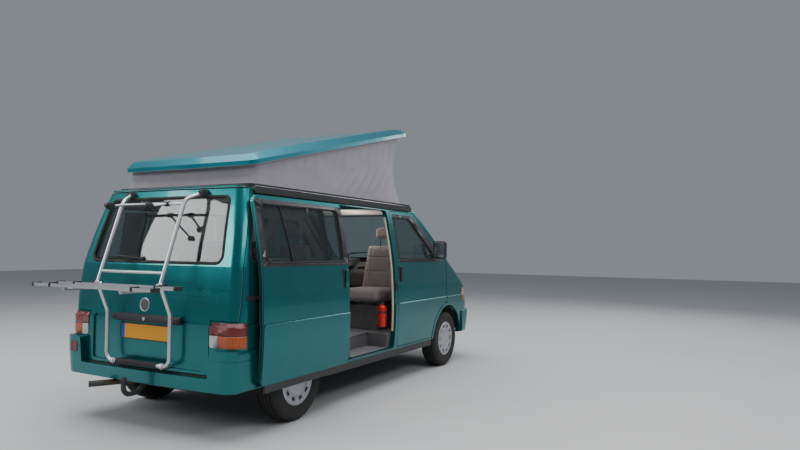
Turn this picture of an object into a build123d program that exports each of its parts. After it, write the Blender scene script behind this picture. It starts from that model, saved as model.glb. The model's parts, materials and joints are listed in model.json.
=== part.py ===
"""A camper van with a raised pop-up roof, an open sliding door and a cycle carrier on its tailgate.

Millimetres. X runs forwards, Y to the van's left and Z up from the ground. Stations, the x values used
below, are measured from the rear axle; write() moves each piece so that x = 0 is the middle of the van's
whole length, carrier included.
"""
from build123d import *
from functools import cache
import math
import os

# Running gear
WHEELBASE = 2920
TYRE_RADIUS = 327
TYRE_WIDTH = 195
RIM_RADIUS = 203
TREAD_PITCH = 42         # between the tyre's grooves
COVER_WINDOWS = 10
COVER_WINDOW_REACH = 151
COVER_WINDOW_SIZE = (46, 27)
FRONT_TRACK = 1590
REAR_TRACK = 1560
KINGPIN_IN = 68          # the steering axis, inboard of the tyre's middle
SPINDLE_RADIUS = 22
SPINDLE_CLEARANCE = 0.05

# Body
HALF_WIDTH = 921
REAR_OVERHANG = 812
FRONT_OVERHANG = 848
SILL_Z = 300
CREASE_Z = 838
CREASE_STEP = 10
NOSE_Z = 960
BELT_Z = 1265
DOOR_TOP_Z = 1806
GUTTER_Z = 1826          # where the sides end and the roof panel begins
ROOF_EDGE_Z = 1872
ROOF_Z = 1900
WALL = 50                # door and body wall, outer skin to inner trim
FLOOR_Z = 530
FLOOR_THICK = 38
GLASS_IN = 6             # glass set back from the outer skin
GLASS_THICK = 6
BUMPER_OUT = 46
BUMPER_SIDE = 9          # a bumper stands out this far along the sides
BUMPER_LOW_Z = 366
BUMPER_LEDGE_Z = 462
BUMPER_CORNER_Z = 668
BUMPER_GROOVE_Z = 592
BUMPER_GROOVE_HEIGHT = 6
FRONT_BUMPER_OUT = 30
FRONT_BUMPER_TOP_Z = 640
GAP = 6                  # shut lines
HINGE_GAP = 10           # shut line beside a vertical hinge
INNER_GAP = 7            # floor and trim stand this far inside the doors
RABBET = 14              # a door's inner part stands this far inside its skin
DOOR_SKIN = 12

# Stations
NOSE = WHEELBASE + FRONT_OVERHANG
TAIL = -REAR_OVERHANG
FRONT_DOOR_REAR = WHEELBASE - 1280
FRONT_DOOR_FRONT = WHEELBASE - 42
SLIDE_FRONT = FRONT_DOOR_REAR - 62
SLIDE_LENGTH = 1165
SLIDE_TRAVEL = 1000
SLIDE_OUT = 80
BONNET_REAR = WHEELBASE + 100
BONNET_TOP_Z = BELT_Z - 29
BULKHEAD = 62            # the wall between cab and engine, ahead of the front axle
COWL_TOP_Z = BELT_Z + 18
ARCH_RADIUS = 385
ARCH_BAND = 40           # body beside the front arch, ahead of the door
ARCH_Z = 348
HOUSE_WALL = 10
HOUSE_LOW_Z = 470        # the liners stop above the suspension arms
FRONT_HOUSE_Y = 505
REAR_HOUSE_Y = 640
CARRIER_REACH = 442      # how far the carrier stands out behind the rear bumper
MID_STATION = (NOSE + FRONT_BUMPER_OUT + TAIL - BUMPER_OUT - CARRIER_REACH) / 2

# Pop-up roof
SHELL_DEPTH = 96
SHELL_REAR = -512
SHELL_FRONT = WHEELBASE - 590
SHELL_HALF = 742
SHELL_WALL = 22
FRAME_TOP_Z = ROOF_Z + 6
SHELL_SEAT = FRAME_TOP_Z + 6  # the closed shell's lower rim
RAISED_ANGLE = 13.8
RAISED_SHIFT = 62        # the rear rim's travel forwards and up as the roof is raised
RAISED_LIFT = 140
CANVAS_HALF = 722
CANVAS_THICK = 4

FRAME_FRONT = WHEELBASE - 620
ROOF_HOLE_HALF = 600
ROOF_HOLE_REAR = 420
ROOF_HOLE_FRONT = WHEELBASE - 1060
RAIL_OVER_GUTTER = 2     # the black rails stand this far above the gutter
GUTTER_RAIL_Y = 762
GUTTER_RAIL_OUT = 34
GUTTER_RAIL_TOP_Z = 1882
GUTTER_RAIL_REAR = SHELL_REAR + 34
GUTTER_RAIL_FRONT = SHELL_FRONT - 190

# Roof mechanism, as (station, z) of each pin. Shut places first
LINK_PIN_SHUT = (SHELL_REAR + 225, SHELL_SEAT + 30)
LINK_FOOT_Z = ROOF_Z + 24
STRUT_FOOT = (WHEELBASE - 1360, ROOF_Z + 24)
STRUT_TOP_SHUT = (STRUT_FOOT[0], SHELL_SEAT + 34)
STRUT_SPARE = 12         # the straight-out length left over when the strut stands
PIN_RADIUS = 6
LUG_THICK = 6
LUG_SIDE_GAP = 2
LUG_HALF = 18
BAR_HALF = 11
BAR_THICK = 7
LINK_Y = CANVAS_HALF - 44
STRUT_LOW_Y = CANVAS_HALF - 46
STRUT_HIGH_Y = STRUT_LOW_Y - BAR_THICK - 6
TIE_ROD_REACH = 160      # how far up the rear links their tie rod stands

# Panels
SIDE_FAR = HALF_WIDTH + 200
SIDE_NEAR = 400
SPLIT_Y = 650            # the sides end here, across the rear corners and the windscreen pillars
WING_IN_Y = 790
BONNET_HALF = WING_IN_Y - GAP
BONNET_LOW_Z = NOSE_Z - 10
BONNET_SKIN = 30
BONNET_HINGE = (NOSE - 570, BONNET_TOP_Z - 10)
DOOR_HINGE = (FRONT_DOOR_FRONT - 30, HALF_WIDTH - 16)
DOOR_LOW_Z = 392
STEP_Z = 394
STEP_WIDTH = 300
RAIL_Y = 420             # the floor's long rails
TAILGATE_LOW_Z = 478
TAILGATE_TOP_Z = 1858
TAILGATE_HINGE = (TAIL + 222, 1876)
RECESS_HALF = 606        # the tailgate's sunk lower panel
RECESS_TOP_Z = 860
RECESS_LOW_Z = TAILGATE_LOW_Z + 22
GROOVE_Z = 1040
GROOVE_HEIGHT = 7
GROOVE_DEPTH = 4
CORNER_Y = 692           # inner end of a raised bumper corner
LIP_WIDTH = 34           # the raised lip round a wheel arch
LIP_OUT = 4
LIP_LOW_Z = 374
SKIRT_LOW_Z = 334
SILL_TRIM_TOP_Z = 366

# Windows, as heights and distances from the panel edges
WINDOW_LOW_Z = BELT_Z + 27
WINDOW_TOP_Z = 1742
PILLAR_TRIM = 62

# Handles, as the length and the heights of the pocket behind each grip
HANDLE_IN = 26           # from the panel's edge
HANDLE_LENGTH = 76
HANDLE_LOW_Z = 1064
HANDLE_TOP_Z = 1226

# Lamps
LAMP_TOP_Z = 868
LAMP_LOW_Z = 682
LAMP_IN_Y = 672
LAMP_REACH = 128         # how far a tail lamp runs forwards round the corner
LAMP_OUT_Y = 786         # outer edge of a headlamp
LAMP_INNER_Y = 470
GRILLE_LOW_Z = 760
GRILLE_TOP_Z = 922
GRILLE_PLAY = 2
SLAT_HEIGHT = 14
HEADLAMP_LOW_Z = 754
HEADLAMP_TOP_Z = 928

# Cycle carrier, as (station, z) of its side tubes
CARRIER_TUBE = 15
CARRIER_Y = 345
CARRIER_FOOT_Z = 518
CARRIER_BEND_Z = 1770
CARRIER_TOP_Z = 1832
CROSS_BARS_Z = (1214, 1738)
CROSS_BAR_RADIUS = 12
PADDED_RADIUS = 19       # the sleeves on the foot tube and round the cycle arms
KNEE_RADIUS = 19
PLATFORM_PIVOT = (TAIL - 158, 1122)
PIVOT_RADIUS = 7
ARM_IN = 36              # the platform's arms, inboard of the side tubes
PLATFORM_ARM_RADIUS = 12
RAIL_HALF_LENGTH = 640
RAIL_WIDTH = 62
RAIL_DEPTH = 24
RAIL_WALL = 4
RAIL_Z = 1104
rail_outer_station = TAIL - BUMPER_OUT - CARRIER_REACH + RAIL_WIDTH / 2
rail_stations = (rail_outer_station, rail_outer_station + 196)

# Towing, front frame and cab
SUBFRAME_TOP_Z = 286
ARM_SPREAD = 95          # the wishbones, above and below the wheel's centre
EYE_THICK = 16
KINGPIN_RADIUS = 12
THRUST_PLAY = 1          # between an upright and the wishbones' eyes
TOW_BALL_RADIUS = 25
TOW_BALL_REACH = 172
TOW_EYE_RADIUS = 16
TOW_EYE_THICK = 14
TOW_EYE = (NOSE - 8, -(RAIL_Y - 15), 330)
STEERING_CENTRE = (WHEELBASE - 560, 430, 1130)
STEERING_TILT = 52       # the column's lean from level
SEAT_Y = 430
SEAT_STATION = WHEELBASE - 1010
BENCH_REAR = -120

# The tailgate's shut line in side view
shut_line = [(TAIL + 74, LAMP_TOP_Z), (TAIL + 118, BELT_Z), (TAIL + 296, TAILGATE_TOP_Z)]

parts = {}


def write(name, shape):
    """Keeps a piece under its node name, in the van's own frame."""
    solid = shape if isinstance(shape, (Solid, Compound, Part)) else Part(shape.wrapped)
    parts[name] = Pos(-MID_STATION, 0, 0) * solid


def rounded(points):
    """A face from (x, y, corner radius) rows."""
    face = make_face(Polyline(*[(x, y) for x, y, _ in points], close=True))
    for x, y, radius in points:
        if radius:
            corner = min(face.vertices(), key=lambda v: (v.X - x) ** 2 + (v.Y - y) ** 2)
            face = fillet(corner, radius)
    return face


def along_y(face, y0, y1):
    """Extrudes a side-view face of (station, z) from y0 to y1."""
    return extrude(Plane.XZ.offset(-max(y0, y1)) * face, amount=abs(y1 - y0))


def along_x(face, x0, x1):
    """Extrudes a rear-view face of (y, z) from x0 to x1."""
    return extrude(Plane.YZ.offset(min(x0, x1)) * face, amount=abs(x1 - x0))


def along_z(face, z0, z1):
    """Extrudes a plan face of (station, y) from z0 to z1."""
    return extrude(Plane.XY.offset(min(z0, z1)) * face, amount=abs(z1 - z0))


def block(x0, x1, y0, y1, z0, z1):
    """A plain block between two corners."""
    return Pos((x0 + x1) / 2, (y0 + y1) / 2, (z0 + z1) / 2) * Box(abs(x1 - x0), abs(y1 - y0), abs(z1 - z0))


def soft_block(x0, x1, y0, y1, z0, z1, radius):
    """A block with all its edges rounded."""
    solid = block(x0, x1, y0, y1, z0, z1)
    return fillet(solid.edges(), radius)


def cylinder_y(x, z, radius, y0, y1):
    """A cylinder along Y."""
    return along_y(Pos(x, z) * Circle(radius), y0, y1)


def tube(points, radii, radius):
    """A round bar along straight runs joined by arcs."""
    path = FilletPolyline(*points, radius=radii) if len(points) > 2 else Line(*points)
    return sweep((path ^ 0) * Circle(radius), path=path)


def mirrored(solid):
    return mirror(solid, about=Plane.XZ)


def both_sides(solid):
    return [solid, mirrored(solid)]


def fused(pieces):
    total = pieces[0]
    for piece in pieces[1:]:
        total = total + piece
    return total


def separate(pieces):
    """Pieces that don't touch, kept together in one node."""
    return Compound(children=[s for p in pieces for s in p.solids()])


# Body form: each row is one plan outline. Columns: height, rear set in from the tail, front set back from
# the nose, side set in from the half width, rear corner radius, rear crown, front corner radius, front crown
LOWER_BODY = [
    (SILL_Z, 12, 28, 31, 110, 30, 320, 110),
    (560, 0, 0, 9, 110, 30, 320, 110),
    (CREASE_Z, 0, 3, 0, 110, 30, 320, 110),
]
NOSE_BAND = [
    (CREASE_Z, CREASE_STEP, 14, CREASE_STEP, 105, 30, 300, 110),
    (NOSE_Z, 15, 68, CREASE_STEP, 105, 30, 300, 110),
]
WAIST_BAND = [
    (NOSE_Z, 15, 68, CREASE_STEP, 105, 30, 300, 110),
    (1110, 26, 328, 15, 105, 30, 240, 110),
    (BELT_Z, 44, 623, 28, 105, 30, 160, 110),
]
UPPER_BAND = [
    (BELT_Z, 44, 648, 28, 105, 30, 90, 110),
    (1560, 122, 1023, 79, 100, 28, 80, 100),
    (1960, 252, 1563, 176, 90, 26, 60, 90),
]


def plan_outline(row, inset):
    z, rear_in, front_in, side_in, rear_round, rear_crown, front_round, front_crown = row
    rear, front = TAIL + rear_in + inset, NOSE - front_in - inset
    half = HALF_WIDTH - side_in - inset
    rear_corner, front_corner = rear + rear_crown, front - front_crown
    outline = (
        ThreePointArc((rear_corner, -half), (rear, 0), (rear_corner, half))
        + Line((rear_corner, half), (front_corner, half))
        + ThreePointArc((front_corner, half), (front, 0), (front_corner, -half))
        + Line((front_corner, -half), (rear_corner, -half))
    )
    face = make_face(outline)
    face = fillet([v for v in face.vertices() if v.X < rear_corner + 1], max(rear_round - inset, 20))
    face = fillet([v for v in face.vertices() if v.X > front_corner - 1], max(front_round - inset, 20))
    return (Pos(0, 0, z) * face).face()


def roof_crowns(inset):
    """The roof's cross curve and its length curve, as two long prisms."""
    top, edge = ROOF_Z - inset, ROOF_EDGE_Z - inset
    shoulder = HALF_WIDTH - 176
    low, side = 200, HALF_WIDTH + 300
    across = make_face(
        Polyline((side, edge - 20), (side, low), (-side, low), (-side, edge - 20))
        + Line((-side, edge - 20), (-shoulder - 40, edge - 20))
        + ThreePointArc((-shoulder - 40, edge - 20), (-shoulder, edge), (-shoulder + 50, edge + 15))
        + ThreePointArc((-shoulder + 50, edge + 15), (0, top), (shoulder - 50, edge + 15))
        + ThreePointArc((shoulder - 50, edge + 15), (shoulder, edge), (shoulder + 40, edge - 20))
        + Line((shoulder + 40, edge - 20), (side, edge - 20))
    )
    screen_top = NOSE - 1440
    length = make_face(
        Polyline((TAIL - 500, edge - 20), (TAIL - 500, low), (NOSE + 500, low), (NOSE + 500, 1400 - inset))
        + Line((NOSE + 500, 1400 - inset), (NOSE - 450, 1400 - inset))
        + ThreePointArc((NOSE - 450, 1400 - inset), (screen_top + 350, 1730 - inset), (screen_top, edge - 4))
        + ThreePointArc((screen_top, edge - 4), (screen_top - 60, top - 8), (screen_top - 160, top + 4))
        + Line((screen_top - 160, top + 4), (TAIL + 330, top + 4))
        + ThreePointArc((TAIL + 330, top + 4), (TAIL + 270, top - 8), (TAIL + 200, edge - 20))
        + Line((TAIL + 200, edge - 20), (TAIL - 500, edge - 20))
    )
    return along_x(across, TAIL - 500, NOSE + 500) & along_y(length, -side, side)


@cache
def low_form(inset):
    """The body's form below its crease alone, which the bumpers, lips and sills follow."""
    return loft([plan_outline(row, inset) for row in LOWER_BODY])


@cache
def hull(inset):
    """The body's form, its walls moved in by inset."""
    bands = [
        loft([plan_outline(row, inset) for row in rows], ruled=len(rows) == 2)
        for rows in (LOWER_BODY, NOSE_BAND, WAIST_BAND, UPPER_BAND)
    ]
    return fused(bands) & roof_crowns(inset)


outer = hull(0)
inner = hull(WALL)
skin = outer - inner
glass_layer = hull(GLASS_IN) - hull(GLASS_IN + GLASS_THICK)
door_layer = outer - hull(DOOR_SKIN)

# Side-view outlines, as (station, z, corner radius)
slide_rear = SLIDE_FRONT - SLIDE_LENGTH
quarter_window = rounded([(TAIL + 184, WINDOW_LOW_Z, 60), (slide_rear - PILLAR_TRIM / 2, WINDOW_LOW_Z, 45),
                          (slide_rear - PILLAR_TRIM / 2, WINDOW_TOP_Z, 45), (TAIL + 292, WINDOW_TOP_Z, 60)])
middle_window = rounded([(slide_rear + PILLAR_TRIM, WINDOW_LOW_Z, 45), (SLIDE_FRONT - PILLAR_TRIM, WINDOW_LOW_Z, 45),
                         (SLIDE_FRONT - PILLAR_TRIM, WINDOW_TOP_Z, 45), (slide_rear + PILLAR_TRIM, WINDOW_TOP_Z, 45)])
front_window = rounded([(FRONT_DOOR_REAR + PILLAR_TRIM, WINDOW_LOW_Z, 40), (WHEELBASE - 290, WINDOW_LOW_Z, 30),
                        (WHEELBASE - 845, WINDOW_TOP_Z, 50), (FRONT_DOOR_REAR + PILLAR_TRIM, WINDOW_TOP_Z, 40)])


def front_door_outline(grow):
    """The front door in side view; grow moves its edges out."""
    g = grow
    face = rounded([
        (FRONT_DOOR_REAR - g, DOOR_LOW_Z - g, 30), (FRONT_DOOR_FRONT + g, DOOR_LOW_Z - g, 0),
        (FRONT_DOOR_FRONT + g, BELT_Z + 3 + g, 12), (WHEELBASE - 722 + g, DOOR_TOP_Z + g, 70),
        (FRONT_DOOR_REAR - g, DOOR_TOP_Z + g, 30),
    ])
    return face - Pos(WHEELBASE, ARCH_Z) * Circle(ARCH_RADIUS + ARCH_BAND + GAP - g)


def slide_door_outline(grow):
    """The sliding door in side view, where it closes."""
    low, top = DOOR_LOW_Z - grow, DOOR_TOP_Z + grow
    rear, front = slide_rear - grow, SLIDE_FRONT + grow
    return rounded([(rear, low, 40), (front, low, 40), (front, top, 40), (rear, top, 40)])


def handle_pocket(edge, sign, ahead):
    """The pocket behind a door handle; ahead is 1 where it lies forwards of the door's edge, -1 behind it."""
    low, top = HANDLE_LOW_Z, HANDLE_TOP_Z
    near, far = edge + ahead * HANDLE_IN, edge + ahead * (HANDLE_IN + HANDLE_LENGTH)
    face = rounded([(near, low, 16), (far, low, 16), (far, top, 16), (near, top, 16)])
    return door_layer & side_cut(face, sign)


def side_cut(face, sign):
    """A side-view face cut through one wall; sign is 1 on the left."""
    return along_y(face, sign * SIDE_NEAR, sign * SIDE_FAR)


def tailgate_region(grow):
    """The space that the tailgate fills; grow moves its edges out."""
    g = grow
    (low_x, _), (belt_x, _), (top_x, top_z) = shut_line
    lean = (top_x - belt_x) / (top_z - BELT_Z)
    upper = along_y(make_face(Polyline(
        (TAIL - 200, LAMP_TOP_Z + 8 - g), (low_x + g, LAMP_TOP_Z + 8 - g), (belt_x + g, BELT_Z),
        (top_x + g * (1 + lean), top_z + g), (TAIL - 200, top_z + g), close=True)),
        -SIDE_FAR, SIDE_FAR)
    half = LAMP_IN_Y - 12 + g
    return upper + block(TAIL - 200, TAIL + 130, -half, half, TAILGATE_LOW_Z - g, LAMP_TOP_Z + 60)


# Rear and front view outlines, as (y, z, corner radius)
tailgate_window = rounded([(-724, 1286, 60), (724, 1286, 60), (655, 1796, 55), (-655, 1796, 55)])
screen_window = rounded([(-800, BELT_Z + 18, 50), (800, BELT_Z + 18, 50), (655, 1806, 70), (-655, 1806, 70)])


def wheel_space(station, inner_y, radius, sign):
    """The round space a wheel turns in."""
    return cylinder_y(station, ARCH_Z, radius, sign * inner_y, sign * SIDE_FAR)


def wheel_houses():
    """Curved liners over the four wheels, closed on their inner side."""
    houses = []
    for sign in (1, -1):
        for station, inner_y in ((0, REAR_HOUSE_Y), (WHEELBASE, FRONT_HOUSE_Y)):
            shell = wheel_space(station, inner_y - HOUSE_WALL, ARCH_RADIUS + HOUSE_WALL, sign)
            shell = shell - wheel_space(station, inner_y, ARCH_RADIUS, sign)
            houses.append(shell & block(station - 500, station + 500, -SIDE_FAR, SIDE_FAR, HOUSE_LOW_Z, 1000) & inner)
    return houses


def arches(sign):
    """Wheel openings through one side."""
    return wheel_space(0, REAR_HOUSE_Y, ARCH_RADIUS, sign) + wheel_space(WHEELBASE, FRONT_HOUSE_Y, ARCH_RADIUS, sign)


def floor_pan():
    """The floor with its sill boxes, wheel houses, side step, toe board and rear cross panel."""
    trim = hull(WALL + INNER_GAP)
    low_z = FLOOR_Z - FLOOR_THICK
    slab = trim & block(TAIL, WHEELBASE - 300, -SIDE_FAR, SIDE_FAR, low_z, FLOOR_Z)
    step_front, step_rear, step_in = SLIDE_FRONT - 70, SLIDE_FRONT - 760, -HALF_WIDTH + STEP_WIDTH
    box_rear, box_front, box_low = ARCH_RADIUS + 8, WHEELBASE - ARCH_RADIUS - 8, SILL_Z + 12
    well = block(step_rear, step_front, -SIDE_FAR, step_in, low_z - 1, FLOOR_Z + 1)
    tray = block(step_rear - 12, step_front + 12, -SIDE_FAR, step_in + 12, STEP_Z - 16, low_z)
    step = trim & (tray - block(step_rear, step_front, -SIDE_FAR, step_in, STEP_Z, FLOOR_Z))
    boxes = (trim - block(TAIL - 10, NOSE, -HALF_WIDTH + 130, HALF_WIDTH - 130, SILL_Z, low_z + 1))
    boxes = boxes & block(box_rear, box_front, -SIDE_FAR, SIDE_FAR, box_low, low_z)
    seats = (inner - trim) & block(box_rear, box_front, -SIDE_FAR, SIDE_FAR, box_low, DOOR_LOW_Z - GAP - 2)
    boxes = boxes - block(step_rear, step_front, -SIDE_FAR, step_in, STEP_Z, low_z + 1)
    toe = make_face(Polyline((WHEELBASE - 302, low_z), (WHEELBASE - 302, FLOOR_Z), (WHEELBASE + BULKHEAD - 22, 742),
                             (WHEELBASE + BULKHEAD, 720), (WHEELBASE - 280, low_z), close=True))
    toe_board = along_y(toe, -FRONT_HOUSE_Y + HOUSE_WALL, FRONT_HOUSE_Y - HOUSE_WALL)
    rear_cross = skin & block(TAIL - 50, TAIL + 200, -SPLIT_Y, SPLIT_Y, 430, TAILGATE_LOW_Z - GAP)
    tail_beam = inner & block(TAIL, TAIL + 120, -SPLIT_Y, SPLIT_Y, 430, TAILGATE_LOW_Z - GAP)
    tail_lip = trim & block(TAIL, TAIL + 120, -SPLIT_Y, SPLIT_Y, TAILGATE_LOW_Z - GAP, low_z)
    rails = [block(-520, WHEELBASE - 330, s * RAIL_Y - 32, s * RAIL_Y + 32, low_z - 70, low_z) for s in (1, -1)]
    pan = fused([slab - well, step, boxes, seats, toe_board, rear_cross, tail_beam, tail_lip, *rails])
    for sign in (1, -1):
        pan = pan - arches(sign)
    return fused([pan, *wheel_houses()])


def side_panel(sign):
    """One side of the body: pillars, sill, rear quarter and windscreen pillar."""
    region = block(TAIL - 100, NOSE, sign * SPLIT_Y, sign * SIDE_FAR, SILL_Z, GUTTER_Z)
    region = region - block(FRONT_DOOR_FRONT + HINGE_GAP, NOSE + 100, -SIDE_FAR, SIDE_FAR, SILL_Z - 10, BELT_Z)
    region = region - block(WHEELBASE, NOSE, -WING_IN_Y, WING_IN_Y, BELT_Z - 10, COWL_TOP_Z)
    region = region - block(TAIL - 100, -ARCH_RADIUS, -SIDE_FAR, SIDE_FAR, SILL_Z - 10, BUMPER_LOW_Z + 6)
    arch_strip = Pos(WHEELBASE, ARCH_Z) * Circle(ARCH_RADIUS + ARCH_BAND + GAP)
    panel = (skin & region) - tailgate_region(GAP) - screen_space()
    panel = panel - side_cut(front_door_outline(GAP), sign) - side_cut(quarter_window, sign) - arches(sign)
    panel = panel - side_cut(arch_strip, sign) - door_swing(sign)
    if sign < 0:
        panel = panel - side_cut(slide_door_outline(GAP), sign)
    else:
        panel = panel - side_cut(middle_window, sign)
    for lamp in lamp_cutters(GAP / 3):
        panel = panel - lamp
    return panel + arch_lip(0, sign)


def door_swing(sign):
    """Room for the front edge of a door as it turns about its hinge."""
    x, y = DOOR_HINGE
    return along_z(Pos(x, sign * y) * Circle(30 + HINGE_GAP), SILL_Z, BELT_Z + 3 + GAP)


def screen_space():
    """The windscreen's opening: the window in front view, limited to the leaning front of the body."""
    above = ROOF_Z + 60
    slope = make_face(Polyline((NOSE - 900, BELT_Z), (NOSE, BELT_Z), (NOSE - 1300, above), (NOSE - 1900, above),
                               close=True))
    return along_x(screen_window, WHEELBASE - 1000, NOSE) & along_y(slope, -SIDE_FAR, SIDE_FAR)


def lamp_cutters(grow):
    """Blocks that cut the tail lamps out of the rear corners."""
    face = rounded([(LAMP_IN_Y - grow, LAMP_LOW_Z - grow, 14), (SIDE_FAR, LAMP_LOW_Z - grow, 0),
                    (SIDE_FAR, LAMP_TOP_Z - 8 + grow, 0), (LAMP_IN_Y - grow, LAMP_TOP_Z - 8 + grow, 14)])
    cutter = along_x(face, TAIL - 100, TAIL + LAMP_REACH + grow)
    return both_sides(cutter)


def front_wing(sign):
    """A front wing, with the strip that runs down behind the wheel."""
    region = block(FRONT_DOOR_FRONT + HINGE_GAP, NOSE + 10, sign * WING_IN_Y, sign * SIDE_FAR, BUMPER_LOW_Z, BELT_Z)
    wing = (skin & region) - door_swing(sign)
    ring = Pos(WHEELBASE, ARCH_Z) * (Circle(ARCH_RADIUS + ARCH_BAND) - Circle(ARCH_RADIUS))
    strip = (outer - hull(DOOR_SKIN)) & along_y(ring, sign * 700, sign * SIDE_FAR)
    strip = strip & block(WHEELBASE - 600, FRONT_DOOR_FRONT + HINGE_GAP, sign * 700, sign * SIDE_FAR, 372, 760)
    return wing + strip + arch_lip(WHEELBASE, sign) - arches(sign) - indicator_cutter(sign, 1.5)


def indicator_cutter(sign, grow):
    """The corner indicator beside a headlamp; grow moves its edges out."""
    return block(NOSE - 405 - grow, NOSE + 50, sign * (LAMP_OUT_Y + 14 - grow), sign * SIDE_FAR,
                 HEADLAMP_LOW_Z + 2 - grow, HEADLAMP_TOP_Z - 2 + grow)


def headlamp_outline(sign, grow):
    """A headlamp in front view, its outer end run on past the lamp; grow moves its edges out."""
    near, far = sign * (LAMP_INNER_Y + 2 - grow), sign * (LAMP_OUT_Y + 2 + 14 * grow)
    low, top = HEADLAMP_LOW_Z - grow, HEADLAMP_TOP_Z + grow
    return rounded([(near, low, 10 + grow), (far, low, 0), (far, top, 0), (near, top, 10 + grow)])


def grille_outline(grow):
    """The grille's opening in front view; grow moves its edges out."""
    half, corner = LAMP_INNER_Y - 12 + grow, 12 + grow
    low, top = GRILLE_LOW_Z - grow, GRILLE_TOP_Z + grow
    return rounded([(-half, low, corner), (half, low, corner), (half, top, corner), (-half, top, corner)])


def front_panel():
    """The lock carrier below the bonnet, with the grille and lamp openings."""
    top = BONNET_LOW_Z - GAP
    panel = (outer - hull(BONNET_SKIN)) & block(NOSE - 420, NOSE + 10, -WING_IN_Y, WING_IN_Y, BUMPER_LOW_Z, top)
    for sign in (1, -1):
        panel = panel - along_x(headlamp_outline(sign, 2), NOSE - 600, NOSE + 50)
    return panel - along_x(grille_outline(0), NOSE - 600, NOSE + 50)


def grille():
    """A frame with slats behind the grille opening."""
    layer = hull(DOOR_SKIN) - hull(BONNET_SKIN)
    frame = layer & along_x(grille_outline(-GRILLE_PLAY), NOSE - 300, NOSE + 10)
    half = LAMP_INNER_Y - 34
    for k in range(5):
        low = GRILLE_LOW_Z + 16 + 2 * k * SLAT_HEIGHT
        frame = frame - block(NOSE - 300, NOSE + 10, -half, half, low, low + SLAT_HEIGHT)
    return frame


def headlamps():
    """The two headlamps, each one block behind a clear face."""
    layer = hull(GLASS_IN) - hull(96)
    return [layer & along_x(headlamp_outline(s, 0), NOSE - 400, NOSE + 50) for s in (1, -1)]


def indicators():
    layer = hull(GLASS_IN) - hull(WALL)
    return [layer & indicator_cutter(s, -1) for s in (1, -1)]


def tail_lamps():
    layer = hull(-4) - hull(WALL)
    return [layer & cutter for cutter in lamp_cutters(0)]


def bonnet():
    """The bonnet: a skin with a stiffening frame under its edges."""
    half, low, top = BONNET_HALF, BONNET_LOW_Z, BONNET_TOP_Z
    lid = (outer - hull(BONNET_SKIN)) & block(BONNET_REAR, NOSE + 10, -half, half, low, top)
    frame = (hull(BONNET_SKIN) - inner) & block(BONNET_REAR, NOSE, -half + 60, half - 60, low + 15, top - 12)
    hollow = block(BONNET_REAR, NOSE - 260, -half + 200, half - 200, low - 50, top - 60)
    return lid + (frame - hollow)


def roof_panel():
    """The steel roof round the pop-up roof's opening."""
    panel = skin & block(TAIL, NOSE, -SIDE_FAR, SIDE_FAR, GUTTER_Z, ROOF_Z + 20)
    panel = panel - tailgate_region(2 * GAP)
    hole = rounded([(ROOF_HOLE_REAR, -ROOF_HOLE_HALF, 120), (ROOF_HOLE_FRONT, -ROOF_HOLE_HALF, 120),
                    (ROOF_HOLE_FRONT, ROOF_HOLE_HALF, 120), (ROOF_HOLE_REAR, ROOF_HOLE_HALF, 120)])
    return panel - along_z(hole, GUTTER_Z - 100, ROOF_Z + 50)


def cowl():
    """The bulkhead between cab and engine, and the strip under the windscreen."""
    front, top = WHEELBASE + BULKHEAD, BELT_Z - 4
    wall = hull(WALL + INNER_GAP) & block(front, front + 22, -SIDE_FAR, SIDE_FAR, FLOOR_Z - 60, top)
    for sign in (1, -1):
        wall = wall - wheel_space(WHEELBASE, FRONT_HOUSE_Y - HOUSE_WALL, ARCH_RADIUS + HOUSE_WALL, sign)
    strip = skin & block(WHEELBASE, NOSE, -WING_IN_Y, WING_IN_Y, BONNET_TOP_Z + GAP, COWL_TOP_Z)
    shelf = inner & block(front, WHEELBASE + 200, -WING_IN_Y, WING_IN_Y, top - 12, top)
    return wall + shelf + strip


def windscreen():
    """The curved windscreen, set into its opening."""
    return (hull(GLASS_IN) - hull(DOOR_SKIN)) & screen_space()


def side_glass():
    """The fixed panes: both rear quarters and the left middle window."""
    panes = [glass_layer & side_cut(quarter_window, s) for s in (1, -1)]
    return panes + [glass_layer & side_cut(middle_window, 1)]


def front_door(sign):
    """A front door: outer skin over a thicker inner part, with its window cut."""
    shell = door_layer & side_cut(front_door_outline(0), sign)
    core = (hull(DOOR_SKIN) - inner) & side_cut(front_door_outline(-RABBET), sign)
    return shell + core - side_cut(front_window, sign) - handle_pocket(FRONT_DOOR_REAR, sign, 1)


def front_door_glass(sign):
    return glass_layer & side_cut(front_window, sign)


@cache
def sliding_door():
    """The side door, stood open: its closed place moved out and back."""
    shell = door_layer & side_cut(slide_door_outline(0), -1)
    core = (hull(DOOR_SKIN) - inner) & side_cut(slide_door_outline(-RABBET), -1)
    return shell + core - side_cut(middle_window, -1) - handle_pocket(SLIDE_FRONT, -1, -1)


slide_open = Pos(-SLIDE_TRAVEL, -SLIDE_OUT, 0)


@cache
def tailgate_recess():
    """The sunk lower panel of the tailgate, which holds the number plate."""
    face = rounded([(-RECESS_HALF, RECESS_LOW_Z, 30), (RECESS_HALF, RECESS_LOW_Z, 30),
                    (RECESS_HALF, RECESS_TOP_Z, 14), (-RECESS_HALF, RECESS_TOP_Z, 14)])
    return door_layer & along_x(face, TAIL - 100, TAIL + 300)


def tailgate():
    """The tailgate, wrapping both rear corners, with its window, its sunk panel and its groove."""
    lid = skin & tailgate_region(0)
    groove = (outer - hull(GLASS_IN)) & block(TAIL - 50, TAIL + 300, -LAMP_IN_Y - 20, LAMP_IN_Y + 20,
                                              GROOVE_Z, GROOVE_Z + GROOVE_HEIGHT)
    return lid - along_x(tailgate_window, TAIL - 100, TAIL + 500) - tailgate_recess() - groove


def tailgate_glass():
    return glass_layer & along_x(tailgate_window, TAIL - 100, TAIL + 500)


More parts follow.
